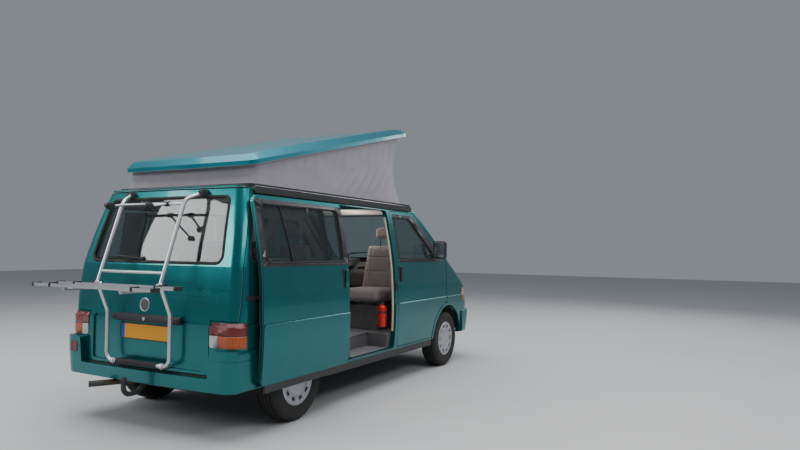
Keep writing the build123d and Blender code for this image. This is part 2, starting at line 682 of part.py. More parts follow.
def bumper(out, behind, beside):
    """A band that stands out from the body, with a thin groove round it.

    out is how far it stands out, and behind and beside are its outlines from the rear and from the side.
    """
    wide = HALF_WIDTH + BUMPER_SIDE
    space = along_x(behind, TAIL - 200, NOSE + 200) & along_y(beside, -wide, wide)
    band = (low_form(-out) & space) - low_form(0)
    deep, low = wide - GROOVE_DEPTH, BUMPER_GROOVE_Z
    core = low_form(-out + GROOVE_DEPTH) & block(TAIL - 200, NOSE + 200, -deep, deep, 0, 1000)
    slab = block(TAIL - 200, NOSE + 200, -SIDE_FAR, SIDE_FAR, low, low + BUMPER_GROOVE_HEIGHT)
    return band - (slab - core)


def rear_bumper():
    """The rear bumper, low across the middle as a step and higher round the corners."""
    low, ledge, top, wide = BUMPER_LOW_Z, BUMPER_LEDGE_Z, BUMPER_CORNER_Z, HALF_WIDTH + BUMPER_SIDE
    rear, front, rise = TAIL - BUMPER_OUT, -ARCH_RADIUS - LIP_WIDTH, CORNER_Y + 20
    behind = rounded([(-wide, low, 24), (wide, low, 24), (wide, top, 26), (rise, top, 24), (CORNER_Y, ledge, 10),
                      (-CORNER_Y, ledge, 10), (-rise, top, 24), (-wide, top, 26)])
    beside = rounded([(rear, low, 14), (front, low, 0), (front, top, 0), (rear, top, 26)])
    return bumper(BUMPER_OUT, behind, beside)


def front_bumper():
    """The front bumper with its air slot."""
    low, top, wide = BUMPER_LOW_Z, FRONT_BUMPER_TOP_Z, HALF_WIDTH + BUMPER_SIDE
    rear, front = WHEELBASE + ARCH_RADIUS + LIP_WIDTH, NOSE + FRONT_BUMPER_OUT
    across = rounded([(-wide, low, 30), (wide, low, 30), (wide, top, 20), (-wide, top, 20)])
    beside = rounded([(rear, low, 0), (front, low, 30), (front, top, 22), (rear, top, 0)])
    slot = rounded([(-430, 430, 18), (430, 430, 18), (430, 505, 18), (-430, 505, 18)])
    return bumper(FRONT_BUMPER_OUT, across, beside) - along_x(slot, NOSE - 200, NOSE + 100)


def arch_lip(station, sign):
    """The raised lip round one wheel arch."""
    ring = Pos(station, ARCH_Z) * (Circle(ARCH_RADIUS + LIP_WIDTH) - Circle(ARCH_RADIUS))
    layer = low_form(-LIP_OUT) - low_form(DOOR_SKIN)
    return layer & side_cut(ring, sign) & block(TAIL, NOSE, -SIDE_FAR, SIDE_FAR, LIP_LOW_Z, CREASE_Z)


def sill_trims():
    """Thin dark strips along the lower edge of both sills."""
    layer = low_form(-LIP_OUT) - low_form(0)
    rear, front = ARCH_RADIUS + LIP_WIDTH + GAP, WHEELBASE - ARCH_RADIUS - ARCH_BAND - 16
    return both_sides(layer & block(rear, front, SIDE_NEAR, SIDE_FAR, SILL_Z + 2, SILL_TRIM_TOP_Z))


def sliding_door_skirt():
    """The dark strip that hangs below the sliding door, where the door stands open."""
    rear, front, low = slide_rear + 44, SLIDE_FRONT - 44, SKIRT_LOW_Z
    face = rounded([(rear, low, 12), (front, low, 12), (front, DOOR_LOW_Z, 0), (rear, DOOR_LOW_Z, 0)])
    return slide_open * (door_layer & side_cut(face, -1))


def gutter_rails():
    """The black rails along both edges of the roof."""
    rear, front = GUTTER_RAIL_REAR, GUTTER_RAIL_FRONT
    top, low = GUTTER_RAIL_TOP_Z, GUTTER_Z + RAIL_OVER_GUTTER
    face = rounded([(rear, low, 8), (front, low, 8), (front, top, 30), (rear, top, 12)])
    rail = along_y(face, GUTTER_RAIL_Y, GUTTER_RAIL_Y + GUTTER_RAIL_OUT)
    return both_sides(rail - outer)


# Pop-up roof: the shell is drawn shut, then turned and moved to where it stands


def raise_point(station, z):
    """Where a point of the shut roof stands when the roof is raised."""
    a = math.radians(RAISED_ANGLE)
    dx, dz = station - SHELL_REAR, z - SHELL_SEAT
    return (SHELL_REAR + RAISED_SHIFT + dx * math.cos(a) - dz * math.sin(a),
            SHELL_SEAT + RAISED_LIFT + dx * math.sin(a) + dz * math.cos(a))


def raised(solid):
    """Moves a solid from the shut roof to the raised one."""
    to_pivot = Pos(-SHELL_REAR, 0, -SHELL_SEAT)
    back = Pos(SHELL_REAR + RAISED_SHIFT, 0, SHELL_SEAT + RAISED_LIFT)
    return back * Rot(0, -RAISED_ANGLE, 0) * to_pivot * solid


def shell_outline(inset, z):
    """The roof shell in plan: square at the rear, rounded at the front."""
    rear, front, half = SHELL_REAR + inset, SHELL_FRONT - inset, SHELL_HALF - inset
    outline = (
        ThreePointArc((rear + 14, -half), (rear, 0), (rear + 14, half))
        + Line((rear + 14, half), (front - 130, half))
        + ThreePointArc((front - 130, half), (front, 0), (front - 130, -half))
        + Line((front - 130, -half), (rear + 14, -half))
    )
    face = make_face(outline)
    face = fillet([v for v in face.vertices() if v.X < rear + 15], max(70 - inset, 12))
    face = fillet([v for v in face.vertices() if v.X > front - 131], max(170 - inset, 12))
    return (Pos(0, 0, z) * face).face()


def shell_form(wall):
    """The shell's solid form, its walls moved in by wall."""
    base, top = SHELL_SEAT, SHELL_SEAT + SHELL_DEPTH
    low = loft([shell_outline(wall, base - (20 if wall else 0)), shell_outline(wall + 4, base + 34)], ruled=True)
    high = loft([shell_outline(wall + 4, base + 34), shell_outline(wall + 74, top - wall)], ruled=True)
    rear, front = SHELL_REAR, SHELL_FRONT
    nose_dip, crest = front - 420, top - wall
    crown = make_face(
        Polyline((rear - 100, crest - 34), (rear - 100, base - 60), (front + 100, base - 60),
                 (front + 100, base + 30 - wall / 2))
        + ThreePointArc((front + 100, base + 30 - wall / 2), (nose_dip + 260, crest - 26), (nose_dip, crest - 2))
        + ThreePointArc((nose_dip, crest - 2), ((rear + nose_dip) / 2, crest + 6), (rear + 120, crest - 8))
        + Line((rear + 120, crest - 8), (rear - 100, crest - 34))
    )
    return (low + high) & along_y(crown, -SIDE_FAR, SIDE_FAR)


def pop_roof():
    """The hollow moulded roof shell, with lugs under it for the links and struts."""
    hollow = shell_form(SHELL_WALL)
    shell = shell_form(0) - hollow
    for x, z, y in ((*LINK_PIN_SHUT, LINK_Y), (*STRUT_TOP_SHUT, STRUT_HIGH_Y)):
        y0 = y - BAR_THICK / 2 - LUG_SIDE_GAP - LUG_THICK
        lug = block(x - LUG_HALF, x + LUG_HALF, y0, y0 + LUG_THICK, z - 14, SHELL_SEAT + SHELL_DEPTH) & hollow
        lug = lug - cylinder_y(x, z, PIN_RADIUS + SPINDLE_CLEARANCE, y0 - 1, y0 + LUG_THICK + 1)
        shell = shell + lug + mirrored(lug)
    return raised(shell)


def roof_frame():
    """The black frame round the roof that the canvas and the shell seat on."""
    def ring(inset, half):
        return rounded([(SHELL_REAR + 30 + inset, -half, 60), (FRAME_FRONT - inset, -half, 150),
                        (FRAME_FRONT - inset, half, 150), (SHELL_REAR + 30 + inset, half, 60)])
    band = ring(0, SHELL_HALF + 16) - ring(46, SHELL_HALF - 30)
    pieces = [along_z(band, ROOF_EDGE_Z - 40, FRAME_TOP_Z) - outer]
    for x, z, y in ((*link_foot, LINK_Y), (*STRUT_FOOT, STRUT_LOW_Y)):
        y0 = y + BAR_THICK / 2 + LUG_SIDE_GAP
        lug = block(x - LUG_HALF, x + LUG_HALF, y0, y0 + LUG_THICK, ROOF_EDGE_Z, z + 14) - outer
        lug = lug - cylinder_y(x, z, PIN_RADIUS + SPINDLE_CLEARANCE, y0 - 1, y0 + LUG_THICK + 1)
        pieces += both_sides(lug)
    return separate(pieces)


def canvas_outline(half, rear, front, nose):
    face = make_face(
        Line((rear, half), (rear, -half)) + Line((rear, -half), (front - nose, -half))
        + ThreePointArc((front - nose, -half), (front, 0), (front - nose, half))
        + Line((front - nose, half), (rear, half))
    )
    face = fillet([v for v in face.vertices() if v.X < rear + 1], 60)
    return fillet([v for v in face.vertices() if v.X > front - nose - 1], 110)


def roof_canvas():
    """The canvas wall between the frame and the raised shell, open above and below."""
    def form(inset):
        low = canvas_outline(CANVAS_HALF - inset, SHELL_REAR + 94 + inset, WHEELBASE - 760 - inset, 120)
        # the upper edge is drawn flat on the shut shell's rim, then raised with it
        high = canvas_outline(CANVAS_HALF - 4 - inset, SHELL_REAR + 60 + inset, WHEELBASE - 800 - inset, 120)
        foot = (Pos(0, 0, FRAME_TOP_Z) * low).face()
        head = raised((Pos(0, 0, SHELL_SEAT + 6) * high).face()).face()
        return loft([foot, head], ruled=True)
    return form(0) - form(CANVAS_THICK)


def link_geometry():
    """The rear link's foot: the point as far from the roof pin shut as raised."""
    x0, z0 = LINK_PIN_SHUT
    x1, z1 = raise_point(x0, z0)
    mx, mz = (x0 + x1) / 2, (z0 + z1) / 2
    dx, dz = x1 - x0, z1 - z0
    span = math.hypot(dx, dz)
    ux, uz = dz / span, -dx / span
    k = (LINK_FOOT_Z - mz) / uz
    foot = (mx + k * ux, LINK_FOOT_Z)
    shut, raised_angle = (math.degrees(math.atan2(z - foot[1], x - foot[0])) for x, z in ((x0, z0), (x1, z1)))
    return foot, (x1, z1), shut - raised_angle


def strut_geometry():
    """Two equal bars that stand nearly straight when raised and fold rearwards flat."""
    fx, fz = STRUT_FOOT
    top = raise_point(*STRUT_TOP_SHUT)
    reach = math.hypot(top[0] - fx, top[1] - fz)
    bar = (reach + STRUT_SPARE) / 2
    up = math.degrees(math.atan2(top[1] - fz, top[0] - fx))
    half = math.degrees(math.acos(reach / 2 / bar))
    shut_reach = STRUT_TOP_SHUT[1] - fz
    shut_half = math.degrees(math.acos(shut_reach / 2 / bar))
    low_raised, low_shut = up + half, 90 + shut_half
    high_raised, high_shut = up + 180 - half - RAISED_ANGLE, 270 - shut_half
    return bar, top, low_raised, low_shut - low_raised, high_raised + RAISED_ANGLE, high_shut - high_raised


link_foot, link_pin, link_turn = link_geometry()
strut_bar, strut_top, strut_low_angle, strut_low_turn, strut_high_angle, strut_high_turn = strut_geometry()
roof_turn = RAISED_ANGLE + link_turn
pin_reach = BAR_THICK / 2 + LUG_SIDE_GAP + LUG_THICK


def flat_bar(x0, z0, x1, z1, y, thick):
    """A flat link from one pin to the other, both ends round."""
    length = math.hypot(x1 - x0, z1 - z0)
    face = SlotCenterToCenter(length, 2 * BAR_HALF)
    angle = math.degrees(math.atan2(z1 - z0, x1 - x0))
    return along_y(Pos((x0 + x1) / 2, (z0 + z1) / 2) * Rot(0, 0, angle) * face, y - thick / 2, y + thick / 2)


def end_of(x, z, angle, length):
    return x + length * math.cos(math.radians(angle)), z + length * math.sin(math.radians(angle))


def roof_links():
    """Two rear links, tied by a rod across the roof."""
    bar = flat_bar(*link_foot, *link_pin, LINK_Y, BAR_THICK)
    foot_pin = cylinder_y(*link_foot, PIN_RADIUS, LINK_Y, LINK_Y + pin_reach)
    head_pin = cylinder_y(*link_pin, PIN_RADIUS, LINK_Y - pin_reach, LINK_Y)
    slope = math.degrees(math.atan2(link_pin[1] - link_foot[1], link_pin[0] - link_foot[0]))
    rod = cylinder_y(*end_of(*link_foot, slope, TIE_ROD_REACH), PIN_RADIUS, -LINK_Y, LINK_Y)
    return fused([*both_sides(bar + foot_pin + head_pin), rod])


def strut_lower():
    """The struts' lower bars, with the pins of their feet."""
    elbow = end_of(*STRUT_FOOT, strut_low_angle, strut_bar)
    pin = cylinder_y(*STRUT_FOOT, PIN_RADIUS, STRUT_LOW_Y, STRUT_LOW_Y + pin_reach)
    return both_sides(flat_bar(*STRUT_FOOT, *elbow, STRUT_LOW_Y, BAR_THICK) + pin)


def strut_upper():
    """The struts' upper bars, with the pins of their heads."""
    elbow = end_of(*strut_top, strut_high_angle, strut_bar)
    pin = cylinder_y(*strut_top, PIN_RADIUS, STRUT_HIGH_Y - pin_reach, STRUT_HIGH_Y)
    return both_sides(flat_bar(*strut_top, *elbow, STRUT_HIGH_Y, BAR_THICK) + pin)


def carrier_frame():
    """Tube frame on the tailgate: bracketed at its top, padded at its foot, with two cycle arms."""
    y, foot_x, foot_z = CARRIER_Y, TAIL - 56, CARRIER_FOOT_Z
    px, pz = PLATFORM_PIVOT
    knee = (px + 2, y, pz + 6)
    upper = tube([knee, (TAIL + 60, y, CARRIER_BEND_Z), (TAIL + 188, y + 66, CARRIER_TOP_Z)], [80], CARRIER_TUBE)
    lower = tube([knee, (foot_x - 4, y, 905), (foot_x, y, foot_z), (foot_x, y - 120, foot_z)], [70, 70], CARRIER_TUBE)
    pieces = both_sides(fused([upper, lower, Pos(*knee) * Sphere(KNEE_RADIUS)]))
    pieces.append(cylinder_y(foot_x, foot_z, PADDED_RADIUS, -y + 112, y - 112))
    lean = (TAIL + 60 - knee[0]) / (CARRIER_BEND_Z - knee[2])
    for z in CROSS_BARS_Z:
        station = knee[0] + (z - knee[2]) * lean
        pieces.append(cylinder_y(station, z, CROSS_BAR_RADIUS, -y, y))
    for arm_y, reach in ((60, 330), (-170, 170)):
        pieces.append(tube([(station, arm_y, z), (station - reach, arm_y, z - 32)], None, 9))
        pieces.append(Pos(station - reach, arm_y, z - 32) * Sphere(24))
        pieces.append(cylinder_y(station, z, PADDED_RADIUS, arm_y - 20, arm_y + 20))
    for s in (1, -1):
        pieces.append(block(foot_x - 4, TAIL + 40, s * (y - 96), s * (y - 60), foot_z - 10, foot_z + 10))
        bracket = (s * (y + 44), s * (y + 80), CARRIER_TOP_Z - 26, CARRIER_TOP_Z + 14)
        pieces.append(block(TAIL + 168, TAIL + 232, *bracket))
    pivot_holes = cylinder_y(px, pz, PIVOT_RADIUS + SPINDLE_CLEARANCE, -SIDE_NEAR, SIDE_NEAR)
    return fused(pieces) - (outer - tailgate_recess()) - pivot_holes


def carrier_platform():
    """The fold-down platform: two side arms and two open rails."""
    px, pz = PLATFORM_PIVOT
    pieces = []
    for s in (1, -1):
        arm_y = s * (CARRIER_Y - ARM_IN)
        low = RAIL_Z - PLATFORM_ARM_RADIUS - 3
        arm = tube([(px + 8, arm_y, pz), (px - 50, arm_y, low), (rail_outer_station - 10, arm_y, low)],
                   [30], PLATFORM_ARM_RADIUS)
        pivot = cylinder_y(px, pz, PIVOT_RADIUS, arm_y, s * (CARRIER_Y + CARRIER_TUBE + 12))
        pieces += [arm, pivot]
        for station in rail_stations:
            pieces.append(block(station - 16, station + 16, arm_y - 14, arm_y + 14, RAIL_Z - 14, RAIL_Z + 1))
    half, wall, depth = RAIL_WIDTH / 2, RAIL_WALL, RAIL_DEPTH
    rail = make_face(Polyline((-half, depth), (-half, 0), (half, 0), (half, depth), (half - wall, depth),
                              (half - wall, wall), (-half + wall, wall), (-half + wall, depth), close=True))
    for station in rail_stations:
        pieces.append(along_y(Pos(station, RAIL_Z) * rail, -RAIL_HALF_LENGTH, RAIL_HALF_LENGTH))
    return fused(pieces)


def wheel_profile_rim():
    """Half section of rim and cover, as (radius, across) with 0 at the tyre's middle, outer side positive."""
    w, r, bore = TYRE_WIDTH / 2 - 14, RIM_RADIUS, SPINDLE_RADIUS + SPINDLE_CLEARANCE
    return make_face(Polyline(
        (bore, -40), (62, -40), (62, 30), (118, 46), (150, 42), (168, 8), (172, -w + 10), (r - 16, -w), (r, -w - 4),
        (r, -w + 8), (r - 14, -w + 14), (r - 16, -20), (r - 26, 0), (r - 16, 20), (r - 14, w - 14), (r, w - 8),
        (r, w + 4), (r - 10, w + 6), (132, w + 8), (118, w - 2), (60, w + 4), (bore, w + 4), close=True))


def wheel(side_y, station):
    """A rim with its cover, and its tyre."""
    w, bead, r, top = TYRE_WIDTH / 2, RIM_RADIUS - 14, RIM_RADIUS, TYRE_RADIUS

    def turned(face):
        # (radius, across) becomes (x, y) of a half section turned about Y
        return Pos(station, side_y, TYRE_RADIUS) * revolve(face, axis=Axis.Y)
    rim = turned(wheel_profile_rim())
    for k in range(COVER_WINDOWS):
        hole = Rot(0, 0, 360 / COVER_WINDOWS * k) * Pos(0, COVER_WINDOW_REACH) * SlotOverall(*COVER_WINDOW_SIZE)
        rim = rim - along_y(Pos(station, TYRE_RADIUS) * hole, side_y + w - 34, side_y + w + 20)
    tyre_face = make_face(
        Line((bead, w - 30), (bead + 1, -w + 30))
        + Line((bead + 1, -w + 30), (r + 1, -w + 12))
        + ThreePointArc((r + 1, -w + 12), (r + 58, -w), (top - 26, -w + 9))
        + ThreePointArc((top - 26, -w + 9), (top - 8, -w + 16), (top - 1, -w + 32))
        + ThreePointArc((top - 1, -w + 32), (top, 0), (top - 1, w - 32))
        + ThreePointArc((top - 1, w - 32), (top - 8, w - 16), (top - 26, w - 9))
        + ThreePointArc((top - 26, w - 9), (r + 58, w), (r + 1, w - 12))
        + Line((r + 1, w - 12), (bead, w - 30))
    )
    tyre = turned(tyre_face) - rim
    groove = Pos(station, TYRE_RADIUS) * (Circle(top + 5) - Circle(top - 7))
    for k in (-1, 0, 1):
        middle = side_y + k * TREAD_PITCH
        tyre = tyre - along_y(groove, middle - 4, middle + 4)
    return rim, tyre


def knuckle():
    """An upright on its steering axis, with the spindle that carries the wheel."""
    y = FRONT_TRACK / 2 - KINGPIN_IN
    upright = Pos(WHEELBASE, y, TYRE_RADIUS) * Cylinder(20, 2 * (ARM_SPREAD - THRUST_PLAY))
    kingpin = Pos(WHEELBASE, y, TYRE_RADIUS) * Cylinder(KINGPIN_RADIUS, 2 * (ARM_SPREAD + EYE_THICK + 6))
    plate = cylinder_y(WHEELBASE, TYRE_RADIUS, 60, y - 12, y + 12)
    spindle = cylinder_y(WHEELBASE, TYRE_RADIUS, SPINDLE_RADIUS, y, FRONT_TRACK / 2 + TYRE_WIDTH / 2 - 14)
    arm = block(WHEELBASE - 130, WHEELBASE, y - 10, y + 10, TYRE_RADIUS - 60, TYRE_RADIUS - 40)
    return fused([upright, kingpin, plate, spindle, arm])


def front_subframe():
    """The cross frame under the engine, its wishbones out to both uprights, and the towing eye."""
    frame = block(WHEELBASE - 260, WHEELBASE + 260, -360, 360, 236, SUBFRAME_TOP_Z)
    frame = frame - block(WHEELBASE - 150, WHEELBASE + 150, -250, 250, 200, 300)
    y_pin = FRONT_TRACK / 2 - KINGPIN_IN
    y_end = y_pin - 18
    outline = Polyline((WHEELBASE - 170, 340), (WHEELBASE + 170, 340), (WHEELBASE + 26, y_end),
                       (WHEELBASE - 26, y_end), close=True)
    middle = Polyline((WHEELBASE - 110, 372), (WHEELBASE + 110, 372), (WHEELBASE, y_end - 110), close=True)
    fork = make_face(outline) - make_face(middle)
    pieces = []
    arm_low, arm_top = TYRE_RADIUS - ARM_SPREAD - EYE_THICK, TYRE_RADIUS + ARM_SPREAD + EYE_THICK
    for z in (arm_low, arm_top - EYE_THICK):
        eye = Pos(WHEELBASE, y_pin) * (Circle(28) - Circle(KINGPIN_RADIUS + SPINDLE_CLEARANCE))
        pieces += [along_z(fork, z, z + EYE_THICK), along_z(eye, z, z + EYE_THICK)]
    for dx in (-150, 150):
        pieces.append(block(WHEELBASE + dx - 20, WHEELBASE + dx + 20, 336, 366, arm_low, arm_top))
    pieces.append(block(WHEELBASE - 330, WHEELBASE + 300, RAIL_Y - 40, RAIL_Y + 10, 400, 450))
    pieces.append(block(WHEELBASE - 330, WHEELBASE - 250, 330, RAIL_Y + 10, 236, 420))
    pieces.append(block(WHEELBASE - 330, WHEELBASE - 240, -10, RAIL_Y + 10, 236, SUBFRAME_TOP_Z))
    pieces.append(block(WHEELBASE - 170, WHEELBASE + 170, 340, RAIL_Y, arm_top - EYE_THICK, arm_top))
    side = fused(pieces)
    return fused([frame, *both_sides(side), tow_eye()])


def rear_axle():
    """The rear cross member with both trailing arms and their spindles."""
    hub_y = REAR_TRACK / 2
    beam = cylinder_y(420, 330, 42, -520, 520)
    side = fused([
        tube([(420, 470, 330), (180, 560, 310), (0, 640, TYRE_RADIUS)], [120], 34),
        tube([(420, 300, 330), (190, 400, 310), (0, 640, TYRE_RADIUS)], [100], 26),
        cylinder_y(0, TYRE_RADIUS, 66, 600, hub_y - 60),
        cylinder_y(0, TYRE_RADIUS, SPINDLE_RADIUS, 600, hub_y + TYRE_WIDTH / 2 - 14),
        Pos(-60, 560, 390) * Cylinder(46, 150),
        block(-90, 30, 540, 640, 300, 330),
        block(380, 460, 400, 470, 330, 422),
    ])
    return fused([beam, *both_sides(side)])


def engine():
    """The engine and gearbox as one plain block in the bay, on the cross frame."""
    x0 = WHEELBASE + 152
    return block(x0, x0 + 420, -300, 300, SUBFRAME_TOP_Z, 900)


def fuel_tank():
    return soft_block(900, 1480, -370, 370, 232, 418, 46)


def exhaust():
    """The pipe from the engine, the silencer, and the tail pipe beside the tow bar."""
    low = 190
    pipe = tube([(WHEELBASE + 150, -200, 340), (WHEELBASE + 40, -200, 340), (WHEELBASE - 30, -200, low),
                 (700, -480, low), (-200, -480, 300), (-420, -300, 330)], [45, 60, 300, 90], 24)
    silencer = Pos(-560, -60, 352) * Rot(90, 0, 0) * Cylinder(76, 560)
    link = tube([(-410, -308, 328), (-560, -300, 352)], None, 24)
    tail = tube([(-560, 150, 340), (-700, 270, 330), (TAIL - 150, 425, 330)], [60], 24)
    return fused([pipe, link, silencer, tail])


def tow_bar():
    """A cross tube under the tail with the swan neck and its ball."""
    cross = block(TAIL + 44, TAIL + 104, -520, 520, 376, 430)
    end = TAIL - TOW_BALL_REACH
    neck = tube([(TAIL + 74, 0, 392), (TAIL - 50, 0, 296), (end, 0, 296), (end, 0, 392)], [60, 60], 19)
    ball = Pos(end, 0, 410) * Sphere(TOW_BALL_RADIUS)
    return fused([cross, neck, ball])


def tow_eye():
    """The front towing eye, a plate that runs from the frame rail out under the bumper."""
    x, y, z = TOW_EYE
    root = WHEELBASE + 240
    loop = Pos(x - 20, z) * SlotCenterToCenter(40, 58)
    bar = make_face(Polyline((root, 404), (root, 446), (root + 60, 446), (x - 130, z + 22), (x - 30, z + 22),
                             (x - 30, z - 22), (x - 140, z - 22), (root + 50, 404), close=True))
    y0, y1 = y - TOW_EYE_THICK / 2, y + TOW_EYE_THICK / 2
    return along_y(loop, y0, y1) + along_y(bar, y0, y1) - cylinder_y(x, z, TOW_EYE_RADIUS, y - 20, y + 20)


# Interior


def dashboard():
    """The dashboard, with its instrument hood and the column shroud."""
    front, rear = WHEELBASE + BULKHEAD - 6, WHEELBASE - 350
    section = rounded([(rear + 40, 930, 40), (front, 820, 0), (front, 1222, 10), (rear + 120, 1236, 50),
                       (rear, 1120, 60)])
    body = along_y(section, -800, 800) & hull(WALL + 6)
    x, y, z = STEERING_CENTRE
    hood = rounded([(rear - 40, 1180, 16), (rear + 190, 1180, 0), (rear + 190, 1290, 60), (rear - 10, 1286, 40)])
    body = body + (along_y(hood, y - 190, y + 190) & hull(WALL + 30))
    for sign in (1, -1):
        body = body - wheel_space(WHEELBASE, SIDE_NEAR, ARCH_RADIUS + HOUSE_WALL + 4, sign)
    a = math.radians(STEERING_TILT)
    run = 330
    column = tube([(x + 36 * math.cos(a), y, z - 36 * math.sin(a)), (x + run, y, z - 0.62 * run * math.tan(a))],
                  None, 34)
    return body + column


def steering_wheel():
    """Rim, four spokes and boss, drawn flat and leaned onto the column."""
    rim = Torus(188, 14)
    boss = Cylinder(52, 34)
    spokes = [Rot(0, 0, a) * Pos(112, 0, 0) * Box(150, 30, 12) for a in (20, 160, 205, 335)]
    flat = fused([rim, boss, *spokes])
    x, y, z = STEERING_CENTRE
    return Pos(x, y, z) * Rot(0, -(90 - STEERING_TILT), 0) * Rot(0, 0, 90) * flat


def seat(turned):
    """A front seat on its plinth: cushion, leaning back and head restraint, drawn facing forwards."""
    cushion = soft_block(-270, 260, -255, 255, 300, 440, 48)
    back_face = rounded([(-300, 380, 30), (-170, 380, 40), (-250, 950, 50), (-350, 940, 40)])
    taper = rounded([(-262, 330, 30), (262, 330, 30), (200, 1000, 90), (-200, 1000, 90)])
    back = along_y(back_face, -280, 280) & along_x(taper, -500, 0)
    head = soft_block(-370, -276, -125, 125, 985, 1130, 36)
    stems = [Pos(-318, s * 60, 960) * Cylinder(7, 120) for s in (1, -1)]
    plinth = block(-200, 170, -200, 200, 0, 302)
    whole = fused([cushion, back, head, *stems, plinth])
    return Rot(0, 0, 180) * whole if turned else whole


def front_seats():
    driver = Pos(SEAT_STATION, SEAT_Y, FLOOR_Z) * seat(False)
    guest = Pos(SEAT_STATION - 30, -SEAT_Y, FLOOR_Z) * seat(True)
    return [driver, guest]


def rear_bench():
    """The bench that makes the lower bed: box, cushion and upright back."""
    y0, y1 = -600, 400
    box = block(BENCH_REAR + 40, BENCH_REAR + 620, y0 + 10, y1 - 10, FLOOR_Z, FLOOR_Z + 300)
    cushion = soft_block(BENCH_REAR + 40, BENCH_REAR + 670, y0, y1, FLOOR_Z + 300, FLOOR_Z + 430, 45)
    back_face = rounded([(BENCH_REAR + 30, FLOOR_Z + 380, 20), (BENCH_REAR + 170, FLOOR_Z + 380, 30),
                         (BENCH_REAR + 60, FLOOR_Z + 960, 45), (BENCH_REAR - 70, FLOOR_Z + 950, 45)])
    back = along_y(back_face, y0, y1)
    shelf = block(TAIL + 150, BENCH_REAR - 110, -640, 410, FLOOR_Z + 400, FLOOR_Z + 470)
    shelf_leg = block(TAIL + 160, TAIL + 180, -600, 380, FLOOR_Z, FLOOR_Z + 402)
    return [fused([box, cushion, back]), shelf + shelf_leg]


def kitchen_unit():
    """The cupboards along the left wall: worktop over doors, a tall wardrobe behind, open to the wall."""
    y_in, y_back, board = 460, 900, 16
    depth = hull(WALL + INNER_GAP)
    pieces = []
    for x0, x1, top in ((-400, 410, 1700), (410, 1530, 1262)):
        carcase = block(x0, x1, y_in, y_back, FLOOR_Z, top)
        hollow = block(x0 + board, x1 - board, y_in + board, y_back + 1, FLOOR_Z + 80, top - board)
        pieces.append(carcase - hollow)
    for x0, x1 in ((448, 950), (990, 1502)):
        pieces.append(block(x0, x1, y_in - 12, y_in + 2, FLOOR_Z + 80, 1210))
    worktop = block(410, 1545, y_in - 14, y_back, 1262, 1290) - Pos(1250, y_in + 170, 1292) * Cylinder(130, 40)
    house = cylinder_y(0, ARCH_Z, ARCH_RADIUS + HOUSE_WALL + 6, 400, SIDE_FAR)
    return (fused([*pieces, worktop]) & depth) - house


def mirror_unit():
    """A door mirror: head on a short arm from the window's front corner."""
    x, z = WHEELBASE - 430, 1400
    y = HALF_WIDTH + 62
    head = soft_block(x - 36, x + 44, y - 62, y + 92, z - 98, z + 104, 26)
    glass_pocket = block(x - 60, x - 30, y - 52, y + 82, z - 88, z + 94)
    arm = block(x - 6, x + 32, HALF_WIDTH - 70, y - 50, z - 92, z - 52)
    return (head - glass_pocket) + arm - outer


def slide_rail():
    """The rail along the right rear quarter, with the bracket that carries the open door."""
    door_end = slide_rear - SLIDE_TRAVEL
    rail = (hull(-4) - outer) & block(TAIL + 130, slide_rear - 12, -SIDE_FAR, -SIDE_NEAR, 1018, 1056)
    bracket = block(door_end + 10, door_end + 90, -HALF_WIDTH - 40, -HALF_WIDTH + 30, 1024, 1050) - outer
    return rail + (bracket - slide_open * sliding_door())


# Write every piece
write("floor_pan", floor_pan())
write("side_left", side_panel(1))
write("side_right", side_panel(-1))
write("front_wings", separate(both_sides(front_wing(1))))
write("sill_trims", separate(sill_trims()))
write("gutter_rails", separate(gutter_rails()))
write("sliding_door_skirt", sliding_door_skirt())
for piece_name, piece in (("front_door", front_door(1)), ("door_glass", front_door_glass(1)),
                          ("mirror", mirror_unit()), ("knuckle", knuckle())):
    write(f"{piece_name}_left", piece)
    write(f"{piece_name}_right", mirrored(piece))
for axle_name, station, track in (("front", WHEELBASE, FRONT_TRACK), ("rear", 0, REAR_TRACK)):
    rim, tyre = wheel(track / 2, station)
    write(f"rim_{axle_name}_left", rim)
    write(f"rim_{axle_name}_right", mirrored(rim))
    write(f"tyre_{axle_name}_left", tyre)
    write(f"tyre_{axle_name}_right", mirrored(tyre))
write("roof_panel", roof_panel())
write("cowl", cowl())
write("front_panel", front_panel())
write("grille", grille())
write("front_lamps", separate(headlamps() + indicators()))
write("tail_lamps", separate(tail_lamps()))
write("bonnet", bonnet())
write("body_glass", separate([windscreen()] + side_glass()))
write("sliding_door", slide_open * sliding_door())
write("sliding_door_glass", slide_open * (glass_layer & side_cut(middle_window, -1)))
write("slide_rail", slide_rail())
write("tailgate", tailgate())
write("tailgate_glass", tailgate_glass())
write("front_bumper", front_bumper())
write("rear_bumper", rear_bumper())
write("pop_roof", pop_roof())
write("roof_frame", roof_frame())
write("roof_canvas", roof_canvas())
write("roof_links", roof_links())
write("strut_lower", separate(strut_lower()))
write("strut_upper", separate(strut_upper()))
write("carrier_frame", carrier_frame())
write("carrier_platform", carrier_platform())
write("front_subframe", front_subframe())
write("rear_axle", rear_axle())
write("engine", engine())
write("fuel_tank", fuel_tank())
write("exhaust", exhaust())
write("tow_bar", tow_bar())
write("dashboard", dashboard())
write("steering_wheel", steering_wheel())
write("front_seats", separate(front_seats()))
write("rear_bench", separate(rear_bench()))
write("kitchen_unit", kitchen_unit())

os.makedirs("parts", exist_ok=True)
for name, shape in parts.items():
    export_step(shape, f"parts/{name}.step")
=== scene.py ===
"""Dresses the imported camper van: finishes, fittings, soft goods, light and camera.

Metres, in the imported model's own frame: X runs forwards, Y to the van's left and Z up from the ground.
Places along the van are given as stations, which are measured from the rear axle, as in the part's source.
"""

import json
import logging
import math
from dataclasses import dataclass, field
from enum import Enum
from typing import Callable, ClassVar, Sequence

import bpy
from mathutils import Matrix, Quaternion, Vector

